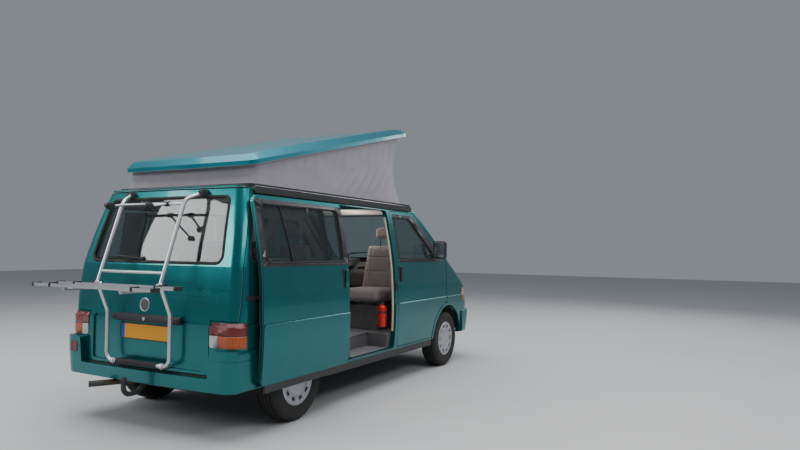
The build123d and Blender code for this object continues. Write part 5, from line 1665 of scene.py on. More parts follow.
@dataclass
class RoofCanvas:
    """The canvas wall between the roof frame and the raised shell.

    The head's sizes are those of the shut roof, which raising then turns and moves, as in the part's source.
    """

    foot_half: float = 0.7225
    foot_rear: float = -0.4185
    foot_front: float = 2.1605
    foot_z: float = 1.9065
    head_half: float = 0.7185
    head_rear: float = -0.4525
    head_front: float = 2.1205
    head_z: float = 1.9175
    nose: float = 0.12
    hinge: tuple[float, float] = (-0.512, 1.912)
    raised_by: tuple[float, float] = (0.062, 0.14)
    raised_angle: float = 13.8
    side_count: int = 130
    end_count: int = 80
    rows: int = 36
    row_height: float = 0.01
    side_sag: float = 0.011
    front_sag: float = 0.062
    thickness: float = 0.0016
    softenings: int = 7
    fold_at: tuple[float, float] = (1.4, 0.27)
    fold_spread: tuple[float, float] = (0.55, 0.2)
    fold_depth: float = 0.015
    fold_length: float = 0.13
    slack: float = 0.0028
    pucker: float = 0.0024
    seam: float = 0.002
    hem: float = 0.0012

    def build(self) -> None:
        """Makes the canvas and hangs its folds."""
        foot = [at(x, y, self.foot_z) for x, y in self.outline(self.foot_half, self.foot_rear, self.foot_front)]
        head = [self.raise_point(x, y, self.head_z)
                for x, y in self.outline(self.head_half, self.head_rear, self.head_front)]
        wall = self.draw(foot)
        self.hang(wall, foot, head)
        modify(wall, "SOLIDIFY", thickness=self.thickness, offset=0.0)
        smooth(wall, 60.0)
        fitted(wall, Shades.CANVAS)
        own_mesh(wall)
        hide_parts("roof_canvas")

    def outline(self, half: float, rear: float, front: float) -> list[tuple[float, float]]:
        """Returns a loop of stations and distances to the left, its corners rounded.

        Args:
            half: half the loop's width.
            rear: its rear end.
            front: the furthest point of its rounded front.

        Returns:
            The loop, from the right rear corner forwards.
        """
        shoulder = front - self.nose
        loop: list[tuple[float, float]] = []
        for step in range(self.side_count):
            loop.append((rear + (shoulder - rear) * step / self.side_count, -half))
        for step in range(self.end_count):
            y = -half + 2 * half * step / self.end_count
            loop.append((front - self.nose * (y / half) ** 2, y))
        for step in range(self.side_count):
            loop.append((shoulder - (shoulder - rear) * step / self.side_count, half))
        for step in range(self.end_count):
            loop.append((rear, half - 2 * half * step / self.end_count))
        for _ in range(self.softenings):
            loop = [((a[0] + 2 * b[0] + c[0]) / 4, (a[1] + 2 * b[1] + c[1]) / 4)
                    for a, b, c in zip(loop[-1:] + loop[:-1], loop, loop[1:] + loop[:1])]
        return loop

    def raise_point(self, x: float, y: float, z: float) -> Vector:
        """Returns where a point of the shut roof stands when the roof is raised.

        Args:
            x: its station.
            y: its distance to the left.
            z: its height.

        Returns:
            The point.
        """
        angle = math.radians(self.raised_angle)
        along, up = x - self.hinge[0], z - self.hinge[1]
        return at(self.hinge[0] + self.raised_by[0] + along * math.cos(angle) - up * math.sin(angle), y,
                  self.hinge[1] + self.raised_by[1] + along * math.sin(angle) + up * math.cos(angle))

    def draw(self, foot: Sequence[Vector]) -> Piece:
        """Draws the foot's loop and extrudes it upwards row by row, still straight.

        Args:
            foot: the points of the foot's loop.

        Returns:
            The canvas.
        """
        bpy.ops.mesh.primitive_circle_add(vertices=len(foot), radius=1.0)
        wall = settled("roof_canvas_looks")
        for vertex, place in zip(wall.data.vertices, foot):
            vertex.co = place
        bpy.ops.object.mode_set(mode="EDIT")
        bpy.ops.mesh.select_mode(type="EDGE")
        bpy.ops.mesh.select_all(action="SELECT")
        for _ in range(self.rows):
            bpy.ops.mesh.extrude_region_move(TRANSFORM_OT_translate={"value": UP * self.row_height})
        bpy.ops.object.mode_set(mode="OBJECT")
        return wall

    def hang(self, wall: Piece, foot: Sequence[Vector], head: Sequence[Vector]) -> None:
        """Moves every point to its place between foot and head, with the cloth's sag and folds.

        Args:
            wall: the straight canvas.
            foot: the foot's points.
            head: the head's points.
        """
        columns = {(round(place.x, 4), round(place.y, 4)): number for number, place in enumerate(foot)}
        count = len(foot)
        for vertex in wall.data.vertices:
            column = columns[(round(vertex.co.x, 4), round(vertex.co.y, 4))]
            rise = (vertex.co.z - self.foot_z) / (self.row_height * self.rows)
            run = foot[(column + 2) % count] - foot[column - 2]
            outward = vec(run.y, -run.x, 0).normalized()
            place = foot[column].lerp(head[column], rise)
            vertex.co = place + outward * self.swell(place, rise)
        clean(wall, 1e-6)

    def swell(self, place: Vector, rise: float) -> float:
        """Returns how far the cloth stands out of its straight wall at a point.

        Args:
            place: the point of the straight wall.
            rise: 0 at the foot and 1 at the head.

        Returns:
            The distance outwards, in metres.
        """
        station = place.x - REAR_AXLE_X
        frontness = min(1.0, max(0.0, (station - 1.45) / 0.5)) ** 2
        bow = 4.0 * rise * (1.0 - rise)
        out = -(self.side_sag + (self.front_sag - self.side_sag) * frontness) * bow
        on_side = 1.0 if abs(place.y) > 0.6 else 0.35
        near = math.prod(math.exp(-((where - middle) / spread) ** 2)
                         for where, middle, spread in zip((station, rise), self.fold_at, self.fold_spread))
        phase = (station * 0.8 - (place.z - self.foot_z) * 0.72) * 2 * math.pi / self.fold_length
        out += self.fold_depth * near * on_side * math.sin(phase + 0.8 * math.sin(station * 5.0))
        wander = math.sin(station * 7.3 + place.y * 3.1 + 1.1) * math.sin(place.z * 9.0 + station * 2.2)
        out += self.slack * bow * wander
        high = math.exp(-((rise - 0.8) / 0.2) ** 2)
        out += self.pucker * high * bow * math.sin((station + place.y) * 41.0)
        corner = math.exp(-(((abs(place.y) - self.foot_half + 0.05) ** 2 + (station - self.foot_rear) ** 2) / 0.0005))
        out -= self.seam * corner
        return out + (self.hem if rise < 0.045 or rise > 0.97 else 0.0)


@dataclass
class Upholstery:
    """The seats and the bench: each pad its own cushion, filled by cloth simulation and then sewn."""

    seat_station: float = 1.91
    seat_y: float = 0.43
    floor_z: float = 0.53
    seat_voxel: float = 0.009
    bench_voxel: float = 0.013
    stitch: float = 0.009
    pressure: float = 4.0
    frames: int = 20

    def build(self) -> None:
        """Makes one front seat, copies it turned round, and makes the bench."""
        self.make_front_seats()
        self.make_bench()

    def filled(self, pad: Piece, voxel: float, cap: float) -> Piece:
        """Fills a pad: remeshes it, lets cloth swell under pressure and caps each point's move.

        Args:
            pad: the closed, slightly small form.
            voxel: the remesh's grid.
            cap: the furthest that a point may move.

        Returns:
            The filled pad.
        """
        modify(pad, "REMESH", mode="VOXEL", voxel_size=voxel)
        before = [vertex.co.copy() for vertex in pad.data.vertices]
        hold(pad)
        cloth = pad.modifiers.new("stuffing", "CLOTH")
        cloth.settings.use_pressure = True
        cloth.settings.uniform_pressure_force = self.pressure
        cloth.settings.effector_weights.gravity = 0.0
        for number in range(1, self.frames + 1):
            bpy.context.scene.frame_set(number)
        bpy.ops.object.modifier_apply(modifier=cloth.name)
        for vertex, place in zip(pad.data.vertices, before):
            move = vertex.co - place
            if move.length > 1e-6:
                vertex.co = place + move.normalized() * cap * (1.0 - math.exp(-move.length / cap))
        bpy.context.scene.frame_set(1)
        return pad

    def sewn(self, pad: Piece, channels: Sequence[tuple[int, float]], facing: Vector, depth: float) -> Piece:
        """Presses sewn channels into one face of a pad.

        Args:
            pad: the filled pad.
            channels: rows of an axis number and the place of a channel on it.
            facing: the way that the sewn face looks.
            depth: how deep a channel is.

        Returns:
            The pad, subdivided and smooth.
        """
        for vertex in pad.data.vertices:
            if vertex.normal.dot(facing) > 0.35:
                pull = max(math.exp(-((vertex.co[axis] - place) / self.stitch) ** 2) for axis, place in channels)
                vertex.co -= vertex.normal * depth * pull
        modify(pad, "SUBSURF", levels=1, render_levels=1)
        return smooth(pad, 80.0)

    def seat_pads(self) -> list[Piece]:
        """Makes the pads of one seat, facing forwards over the origin."""
        cushion = block("cushion", (-0.252, -0.238, 0.314), (0.246, 0.238, 0.424), 0.036)
        for vertex in cushion.data.vertices:
            vertex.co.z += 0.016 * max(0.0, abs(vertex.co.y) - 0.15) / 0.09 if vertex.co.z > 0.37 else 0.0
        outline = [vec(x, -0.248, z) for x, z in ((-0.291, 0.396), (-0.19, 0.396), (-0.262, 0.926), (-0.338, 0.922))]
        back = plate("back", outline, LEFT * 0.496, 0.03)
        edit(back, everything, divide(1))
        for vertex in back.data.vertices:
            height = max(0.0, (vertex.co.z - 0.4) / 0.53)
            vertex.co.y *= 1.0 - 0.2 * height ** 2
        rest = block("head_restraint", (-0.366, -0.114, 0.994), (-0.284, 0.114, 1.12), 0.032)
        rows = (
            (cushion, 0.014, ((1, -0.13), (1, 0.13), (0, 0)), UP, 0.006),
            (back, 0.014, ((1, -0.125), (1, 0.125), (2, 0.62), (2, 0.78)), AHEAD, 0.006),
            (rest, 0.007, ((2, 1.057),), AHEAD, 0.003),
        )
        for pad, cap, channels, facing, depth in rows:
            self.sewn(self.filled(pad, self.seat_voxel, cap), channels, facing, depth)
        return [cushion, back, rest]

    def seat_frame(self) -> list[Piece]:
        """Makes one seat's base, swivel, head restraint stems and lever."""
        base = block("seat_base", (-0.2, -0.2, 0.002), (0.17, 0.2, 0.262))
        edit(base, lambda _, normal: abs(normal.z) < 0.1, inset(0.022, use_individual=True), press(-0.006))
        rounded(base, 0.004)
        profile = ((0, 262), (175, 262), (180, 266), (180, 276), (165, 280), (165, 290), (185, 293), (185, 318),
                   (0, 318))
        swivel = lathe("seat_swivel", profile, Vector(), UP, 48)
        stems = [rod(f"stem_{word}", vec(-0.318, side * 0.06, 0.9), vec(-0.322, side * 0.06, 1.02), 0.007, 20)
                 for side, word in SIDES]
        lever = pipe("seat_lever", [vec(0.05, 0.205, 0.285), vec(0.16, 0.235, 0.285), vec(0.24, 0.235, 0.29)], 0.007)
        return [base, swivel, joined("seat_stems", *stems), lever]

    def make_front_seats(self) -> None:
        """Stands the driver's seat, and the other turned to the rear."""
        pads, frame = self.seat_pads(), self.seat_frame()
        driver = at(self.seat_station, self.seat_y, self.floor_z)
        guest = at(self.seat_station - 0.03, -self.seat_y, self.floor_z)
        for piece in (*pads, *frame):
            name = f"seat_{piece.name}" if piece in pads else piece.name
            finish, slot = (Shades.STEEL, "steel") if "stems" in name else (Shades.TRIM, "trim")
            copy = twin(piece, f"guest_{piece.name}")
            for made, word, spot, turn in ((piece, "driver", driver, 0.0), (copy, "guest", guest, math.pi)):
                stood(made, spot, turn).name = f"{word}_{name}"
                if piece in pads:
                    fitted(made, Shades.SEAT)
                else:
                    fitted(made, finish)
                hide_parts("front_seats")

    def make_bench(self) -> None:
        """Makes the bench's two cushions, its box and the rear mattress on its shelf."""
        z = self.floor_z
        front = at(0.548, 0.388, z + 0.418)
        seat = block("bench_cushion", at(-0.068, -0.588, z + 0.314), front, 0.036)
        self.sewn(self.filled(seat, self.bench_voxel, 0.014), ((1, -0.1), (0, front.x - 0.12)), UP, 0.006)
        points = ((-0.081, z + 0.4), (0.04, z + 0.4), (-0.068, z + 0.948), (-0.178, z + 0.938))
        back = plate("bench_back", [at(x, -0.588, height) for x, height in points], LEFT * 0.976, 0.034)
        self.sewn(self.filled(back, self.bench_voxel, 0.013), ((1, -0.1), (2, z + 0.76)), AHEAD, 0.006)
        bed = block("rear_mattress", at(-0.648, -0.628, z + 0.402), at(-0.246, 0.398, z + 0.464), 0.028)
        self.sewn(self.filled(bed, self.bench_voxel, 0.006), ((1, -0.1),), UP, 0.004)
        for pad in (seat, back, bed):
            fitted(pad, Shades.SEAT)
            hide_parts("rear_bench")
        box = panel("bench_box", at(-0.08, -0.59, z + 0.001), at(0.5, 0.39, z + 0.312), AHEAD,
                    ((0.035, -0.004), (0.003, 0.005)), 0.002)
        shelf = block("mattress_shelf", at(-0.652, -0.634, z + 0.386), at(-0.64, 0.404, z + 0.401))
        leg = block("mattress_leg", at(-0.652, -0.6, z + 0.001), at(-0.632, 0.38, z + 0.386))
        board = block("mattress_board", at(-0.64, -0.634, z + 0.386), at(-0.24, 0.404, z + 0.401))
        for piece in (box, rounded(joined("mattress_shelf", shelf, leg, board), 0.002)):
            fitted(piece, Shades.LAMINATE)
            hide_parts("rear_bench")


@dataclass
class CarrierFittings:
    """The cycle carrier's foam, clamps, brackets, knobs, jaws, end caps and straps."""

    foot: tuple[float, float] = (-0.868, 0.518)
    collar_y: float = 0.267
    pad_half: float = 0.229
    pivot: tuple[float, float] = (-0.97, 1.122)
    rails: tuple[float, float] = (-1.269, -1.073)
    rail_half: float = 0.64
    rail_z: tuple[float, float] = (1.104, 1.128)
    bar: tuple[float, float] = (-0.763, 1.738)

    def build(self) -> None:
        """Makes every fitting of the carrier."""
        self.make_foam()
        self.make_brackets()
        self.make_jaws()
        self.make_rail_ends()

    def make_foam(self) -> None:
        """Makes the foam on the lower tube, and the clamps and hooks at its ends."""
        x, z = self.foot
        half = self.pad_half
        profile = [(0.0155, -half), (0.0185, -half), (0.0208, -half + 0.004)]
        for step in range(1, 12):
            along = -half + 2 * half * step / 12
            profile += [(0.0212, along - 0.004), (0.0207 - 0.0006 * (step % 3), along), (0.0212, along + 0.004)]
        profile += [(0.0208, half - 0.004), (0.0185, half), (0.0155, half)]
        foam = lathe("carrier_foam", profile, at(x, 0, z), LEFT, 40, unit=1.0)
        fitted(foam, Shades.FOAM, "tailgate")
        clamp = ((15.3, -17), (20.5, -17), (22.5, -14), (22.5, 14), (20.5, 17), (15.3, 17))
        bend = ((-0.004, -0.02), (0.03, -0.026), (0.066, -0.022), (0.088, -0.006))
        for side, word in SIDES:
            collar = lathe(f"carrier_clamp_{word}", clamp, at(x, side * self.collar_y, z), LEFT, 36)
            points = [at(x + back, side * self.collar_y, z + up) for back, up in bend]
            hook = pipe(f"carrier_hook_{word}", points, 0.006)
            for piece in (collar, hook):
                fitted(piece, Shades.ALLOY, "tailgate")

    def make_brackets(self) -> None:
        """Makes the black clamps at the carrier's top, and the knobs there and on the platform's pivots."""
        for side, word in SIDES:
            low, high = sorted((side * 0.386, side * 0.43))
            clamp = panel(f"carrier_bracket_{word}", at(-0.648, low, 1.802), at(-0.576, high, 1.85), UP,
                          ((0.009, 0.005),), 0.004, 3)
            fitted(clamp, Shades.BLACK, "tailgate")
            self.knob(f"bracket_knob_{word}", at(-0.655, side * 0.408, 1.828), -AHEAD, 0.017, "tailgate")
            self.knob(f"pivot_knob_{word}", at(self.pivot[0], side * 0.381, self.pivot[1]), LEFT * side, 0.02,
                      "carrier_platform")

    def knob(self, name: str, centre: Vector, axis: Vector, radius: float, body: str) -> None:
        """Makes a lobed hand knob.

        Args:
            name: the knob's name.
            centre: the middle of its foot.
            axis: the way that it points.
            radius: its radius.
            body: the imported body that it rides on.
        """
        profile = ((0, 0.018), (radius * 0.5, 0.0185), (radius * 0.9, 0.016), (radius, 0.011), (radius, 0.006),
                   (radius * 0.7, 0.003), (radius * 0.45, -0.01), (0, -0.01))
        grip = lathe(name, profile, centre, axis, 30, unit=1.0)
        side = axis.orthogonal().normalized()

        def lobe(place: Vector, normal: Vector) -> bool:
            """Passes every other pair of rim faces.

            Args:
                place: a face's middle.
                normal: its normal.

            Returns:
                Whether the face passes.
            """
            flat = place - centre
            turn = math.atan2(flat.dot(axis.cross(side)), flat.dot(side)) / (2 * math.pi) * 10 + 20.25
            return abs(normal.dot(axis)) < 0.5 and flat.length > radius * 0.8 and int(turn) % 2 == 0

        edit(grip, lobe, press(-0.0025))
        fitted(smooth(grip, 40.0), Shades.BLACK, body)

    def make_jaws(self) -> None:
        """Makes the rubber jaws, knobs and sleeves of the two cycle arms."""
        station, height = self.bar
        rubber = ((0, -27), (19, -27), (25.5, -22), (28.5, -13), (24.5, -7), (24.5, 7), (28.5, 13), (25.5, 22),
                  (19, 27), (0, 27))
        ring = ((12.5, -24), (18, -24), (20.8, -21), (20.8, 21), (18, 24), (12.5, 24))
        for number, (y, reach) in enumerate(((0.06, 0.33), (-0.17, 0.17))):
            end = at(station - reach, y, height - 0.032)
            fitted(lathe(f"carrier_jaw_{number}", rubber, end, LEFT, 36), Shades.FOAM, "tailgate")
            self.knob(f"jaw_knob_{number}", end + vec(-0.026, 0, 0.002), -AHEAD, 0.016, "tailgate")
            sleeve = lathe(f"carrier_sleeve_{number}", ring, at(station, y, height), LEFT, 36)
            fitted(sleeve, Shades.BLACK, "tailgate")

    def make_rail_ends(self) -> None:
        """Closes the rails with dark caps and puts the wheel straps on them."""
        low, top = self.rail_z
        for number, station in enumerate(self.rails):
            rear, front = station - 0.0335, station + 0.0335
            for side, word in SIDES:
                near, far = sorted((side * (self.rail_half - 0.012), side * (self.rail_half + 0.007)))
                cap = panel(f"rail_cap_{number}_{word}", at(rear, near, low - 0.0025), at(front, far, top + 0.0035),
                            LEFT * side, ((0.004, -0.002),), 0.003, 3)
                fitted(cap, Shades.BLACK, "carrier_platform")
                y = side * 0.44
                strap = panel(f"wheel_strap_{number}_{word}", at(rear, y - 0.011, low - 0.002),
                              at(front, y + 0.011, top + 0.003), UP, ((0.003, 0.004),), 0.0016)
                fitted(strap, Shades.SEAL, "carrier_platform")


@dataclass
class Lining:
    """The cabin's trim panels, its floor covering and the seal round the side door's opening."""

    nodes: dict[str, Piece]
    lift: float = 0.0015
    seal_station: float = 1.571
    seal_inset: float = 0.03
    floor_low_z: float = 0.385
    floor_top_z: float = 0.54
    ribs: float = 400.0  # grip ribs and grooves in a metre of the step's edges

    def build(self) -> None:
        """Lines the inner faces of the body, the doors and the roof, and covers the floor."""
        rear = (at(-0.74, 0, 0), AHEAD)
        front = (at(2.62, 0, 0), -AHEAD)
        above = (UP * 0.5, UP)
        rows = (
            ("side_left", "left", "body", -LEFT), ("side_right", "right", "body", LEFT),
            ("sliding_door", "sliding_door", "body", LEFT), ("front_door_left", "door_left", "front_door_left", -LEFT),
            ("front_door_right", "door_right", "front_door_right", LEFT), ("tailgate", "tailgate", "tailgate", AHEAD),
            ("roof_panel", "roof", "body", -UP), ("pop_roof", "pop_roof", "pop_roof", -UP),
        )
        for node, word, body, facing in rows:
            planes = [rear, front, above] if node.startswith("side") else []
            piece = laid_over(self.nodes[node], f"lining_{word}", facing, planes, self.lift, beyond=-9.0, share=0.6)
            fitted(piece, Shades.HEADLINING if "roof" in node else Shades.VINYL, body)
        self.make_floor()
        self.make_opening_seal()

    def make_floor(self) -> None:
        """Covers the floor and the side step, and edges the step with metal."""
        planes = [(at(-0.66, 0, 0), AHEAD), (at(2.55, 0, 0), -AHEAD),
                  (UP * self.floor_low_z, UP), (UP * self.floor_top_z, -UP)]
        cover = laid_over(self.nodes["floor_pan"], "floor_cover", UP, planes, 0.003, share=0.9)
        fitted(cover, Shades.CARPET)
        bounds = [(at(0.7, 0, 0), AHEAD), (at(1.6, 0, 0), -AHEAD), (UP * 0.38, UP), (UP * 0.53, -UP)]
        for name, facing in (("step_riser", -LEFT), ("step_front", -AHEAD), ("step_rear", AHEAD)):
            riser = laid_over(self.nodes["floor_pan"], name, facing, bounds, 0.0015, beyond=-9.0, share=0.9)
            fitted(riser, Shades.TRIM)
        for word, y, z, station in (("upper", -0.6185, 0.5335, 0.818), ("lower", -0.842, 0.3975, 0.826)):
            edge = block(f"step_edge_{word}", at(station, y - 0.012, z - 0.004), at(1.508, y + 0.022, z + 0.0025))
            edit(edge, looks(UP), divide(6))
            edit(edge, lambda place, normal: normal.z > 0.9 and int((place.y + 2.0) * self.ribs) % 2 == 0,
                 shift(UP * 0.0012))
            fitted(rounded(edge, 0.0012), Shades.ALLOY)

    def make_opening_seal(self) -> None:
        """Runs the pale seal up the front of the side door's opening."""
        points = []
        for height in (0.56, 0.8, 1.0, 1.2, 1.4, 1.6, 1.74):
            skin = beside(self.nodes["side_right"], -1.0, 1.612, height)
            points.append(at(self.seal_station, skin.y + self.seal_inset, height))
        fitted(pipe("opening_seal", points, 0.0105), Shades.BEIGE)


@dataclass
class Kitchen:
    """The hob, sink, tap, doors and catches of the cupboards along the left wall."""

    front_y: float = 0.448
    worktop_z: float = 1.29
    sink_at: tuple[float, float] = (1.25, 0.63)
    sink_radius: float = 0.13
    hob_at: tuple[float, float] = (0.86, 0.66)

    def build(self) -> None:
        """Makes the kitchen's fittings."""
        self.make_sink()
        self.make_hob()
        self.make_doors()

    def make_sink(self) -> None:
        """Turns the bowl and bends the tap."""
        r = self.sink_radius
        centre = at(*self.sink_at, self.worktop_z)
        profile = ((r + 0.012, 0), (r + 0.011, 0.003), (r - 0.002, 0.0032), (r - 0.0065, -0.002), (r - 0.008, -0.017),
                   (r - 0.03, -0.0172), (0.03, -0.0176), (0.026, -0.0196), (0, -0.0198))
        bowl = lathe("sink_bowl", profile, centre, UP, 64, unit=1.0)
        modify(bowl, "SOLIDIFY", thickness=0.0008, offset=0.0)
        fitted(smooth(bowl), Shades.STEEL)
        foot = centre + vec(0, r + 0.035, 0)
        bend = ((0, 0), (0, 0.11), (-0.02, 0.17), (-0.1, 0.17), (-0.125, 0.13))
        tap = pipe("sink_tap", [foot + vec(0, y, z) for y, z in bend], 0.009)
        collar = lathe("tap_collar", ((0, 26), (14, 26), (17, 20), (20, 4), (26, 0), (0, 0)), foot, UP, 32)
        fitted(joined("sink_tap", tap, collar), Shades.STEEL)

    def make_hob(self) -> None:
        """Lays the hob with its two burners, pan supports and dials."""
        centre = at(*self.hob_at, self.worktop_z)
        tray = panel("hob_tray", *about(centre, (-0.26, -0.16, 0.0003), (0.26, 0.16, 0.007)), UP, ((0.012, -0.0035),),
                     0.0015)
        fitted(tray, Shades.STEEL)
        ring = ((0, 12), (20, 12.5), (26, 10), (27, 6), (38, 6), (41, 3), (50, 0), (0, 0))
        cap = ((0, 18), (12, 17.8), (14, 15), (16.5, 2), (19, 0), (0, 0))
        for number, along in enumerate((-0.125, 0.125)):
            spot = centre + vec(along, 0.02, 0.004)
            fitted(lathe(f"burner_{number}", ring, spot, UP, 40), Shades.BLACK)
            bars = []
            for turn in range(4):
                angle = math.pi / 4 + turn * math.pi / 2
                bend = [spot + vec(math.cos(angle) * reach, math.sin(angle) * reach, up)
                        for reach, up in ((0.028, 0.02), (0.07, 0.021), (0.09, 0.002))]
                bars.append(pipe(f"support_{number}_{turn}", bend, 0.0026))
            fitted(joined(f"pan_support_{number}", *bars), Shades.STEEL)
            dial = lathe(f"hob_dial_{number}", cap, centre + vec(along, -0.136, 0.004), UP, 28)
            fitted(dial, Shades.BLACK)

    def make_doors(self) -> None:
        """Edges the doors of the cupboard and of the wardrobe, and gives each its round press catch."""
        y = self.front_y - 0.0055
        sunk, raised = (0.024, -0.0025), (0.004, 0.0022)
        rows = (
            ("cupboard", 0, at(0.448, y, 0.612), at(0.95, y + 0.006, 1.208), (sunk, raised), at(0.9, y, 1.15)),
            ("cupboard", 1, at(0.99, y, 0.612), at(1.502, y + 0.006, 1.208), (sunk, raised), at(1.452, y, 1.15)),
            ("wardrobe", 0, at(-0.385, 0.454, 0.62), at(0.395, 0.4605, 1.14), (sunk,), at(0.35, 0.454, 0.88)),
            ("wardrobe", 1, at(-0.385, 0.454, 1.16), at(0.395, 0.4605, 1.68), (sunk,), at(0.35, 0.454, 1.42)),
        )
        turned = ((0, 12.5), (9, 12.5), (11.5, 10.5), (11.5, 4), (16, 3.5), (18, 0), (0, 0))
        for word, number, low, high, rims, spot in rows:
            door = panel(f"{word}_door_{number}", low, high, -LEFT, rims, 0.0012)
            fitted(door, Shades.LAMINATE)
            fitted(lathe(f"{word}_catch_{number}", turned, spot, -LEFT, 32), Shades.TRIM)


@dataclass
class Cab:
    """The dashboard's vents, instruments and controls, the wheel's pad, and the fire extinguisher."""

    nodes: dict[str, Piece]
    wheel_centre: tuple[float, float, float] = (2.36, 0.43, 1.13)
    wheel_tilt: float = 52.0

    def build(self) -> None:
        """Makes the cab's fittings."""
        self.make_dashboard()
        self.make_wheel_pad()
        self.make_lever()
        self.make_extinguisher()

    def face(self, y: float, z: float, station: float = 1.9) -> Vector:
        """Returns the point of the dashboard's rear face at a distance to the left and a height."""
        return landing(self.nodes["dashboard"], at(station, y, z), AHEAD)

    def make_dashboard(self) -> None:
        """Sets four slatted vents, the glove box lid, the radio and the instruments in the dashboard."""
        for number, y in enumerate((0.7, 0.13, -0.13, -0.7)):
            seat = self.face(y, 1.15)
            frame = panel(f"vent_{number}", *about(seat, (-0.006, -0.055, -0.03), (0.02, 0.055, 0.03)), -AHEAD,
                          ((0.006, -0.012),), 0.002)
            slats = []
            for row, up in enumerate((-0.018, -0.009, 0, 0.009, 0.018)):
                corners = about(seat, (-0.003, -0.049, up - 0.0012), (0.006, 0.049, up + 0.0012))
                slats.append(block(f"slat_{number}_{row}", *corners))
            fitted(joined(f"vent_{number}", frame, *slats), Shades.BLACK)
        cluster = self.face(0.43, 1.235, 2.1)
        rows = (
            ("glove_box", self.face(-0.45, 1.02), (-0.006, -0.19, -0.06), (0.03, 0.19, 0.045), (0.02, -0.003), 0.004,
             Shades.TRIM),
            ("radio", self.face(0.0, 1.04), (-0.005, -0.09, -0.026), (0.03, 0.09, 0.026), (0.005, -0.004), 0.002,
             Shades.BLACK),
            ("instrument_panel", cluster, (-0.004, -0.15, -0.04), (0.01, 0.15, 0.035), (0.006, -0.003), 0.002,
             Shades.BLACK),
        )
        for name, seat, low, high, rim, edge, finish in rows:
            fitted(panel(name, *about(seat, low, high), -AHEAD, (rim,), edge), finish)
        profile = ((0, 0), (20, 0.2), (27.5, 0.4), (29, 3), (31, 3), (32, -1), (0, -1))
        for number, y in enumerate((0.07, -0.07)):
            dial = lathe(f"dial_{number}", profile, cluster + vec(-0.0015, y, -0.003), -AHEAD, 48)
            fitted(dial, Shades.TRIM)

    def make_wheel_pad(self) -> None:
        """Covers the steering wheel's boss with a soft-edged pad."""
        lean = math.radians(90.0 - self.wheel_tilt)
        axis = vec(-math.sin(lean), 0, math.cos(lean))
        profile = ((0, 28), (30, 27.5), (52, 25), (64, 19), (68, 8), (64, -4), (30, -12), (0, -12))
        pad = lathe("steering_pad", profile, at(*self.wheel_centre), axis, 48)
        fitted(pad, Shades.TRIM, "steering_wheel")

    def make_lever(self) -> None:
        """Makes the gear lever with its gaiter on the cab floor."""
        foot = at(2.32, 0.05, 0.533)
        folds = ((85, 0), (80, 12), (66, 18), (68, 34), (52, 42), (53, 58), (36, 68), (36, 82), (16, 95), (0, 96))
        fitted(lathe("lever_gaiter", folds, foot, UP, 36), Shades.SEAL)
        stick = pipe("gear_lever", [foot + vec(x, 0, z) for x, z in ((0, 0.09), (-0.03, 0.22), (-0.09, 0.34))], 0.0065)
        ball = lathe("gear_knob", ((0, 32), (14, 30), (22, 18), (23, 4), (16, -14), (9, -22), (0, -22)),
                     foot + vec(-0.093, 0, 0.35), UP, 32)
        fitted(joined("gear_lever", stick, ball), Shades.BLACK)

    def make_extinguisher(self) -> None:
        """Stands the small red fire extinguisher beside the door pillar."""
        foot = at(1.53, -0.785, 0.6)
        bottle = ((0, 0), (30, 0), (40, 4), (43, 14), (43, 100), (43.8, 101), (43.8, 106), (43, 107), (43, 190),
                  (40, 206), (28, 221), (14, 228), (13, 236), (0, 236))
        fitted(lathe("extinguisher", bottle, foot, UP, 48), Shades.RED_PAINT)
        valve = ((0, 262), (12, 262), (15, 256), (15, 240), (17, 236), (0, 234))
        handle = [foot + vec(0, y, z) for y, z in ((0.012, 0.258), (-0.02, 0.272), (-0.05, 0.266))]
        nozzle = [foot + vec(x, 0, z) for x, z in ((0.012, 0.248), (0.036, 0.246), (0.047, 0.222))]
        head = joined("extinguisher_head", lathe("extinguisher_head", valve, foot, UP, 28),
                      pipe("extinguisher_lever", handle, 0.0045), pipe("extinguisher_nozzle", nozzle, 0.006))
        fitted(head, Shades.BLACK)
        band = ((43.2, 146), (45.2, 146), (45.2, 164), (43.2, 164))
        strap = lathe("extinguisher_strap", band, foot, UP, 48)
        back = block("extinguisher_back", *about(foot, (0.03, -0.03, 0.03), (0.052, 0.03, 0.19)), 0.003)
        fitted(joined("extinguisher_bracket", strap, back), Shades.BLACK)


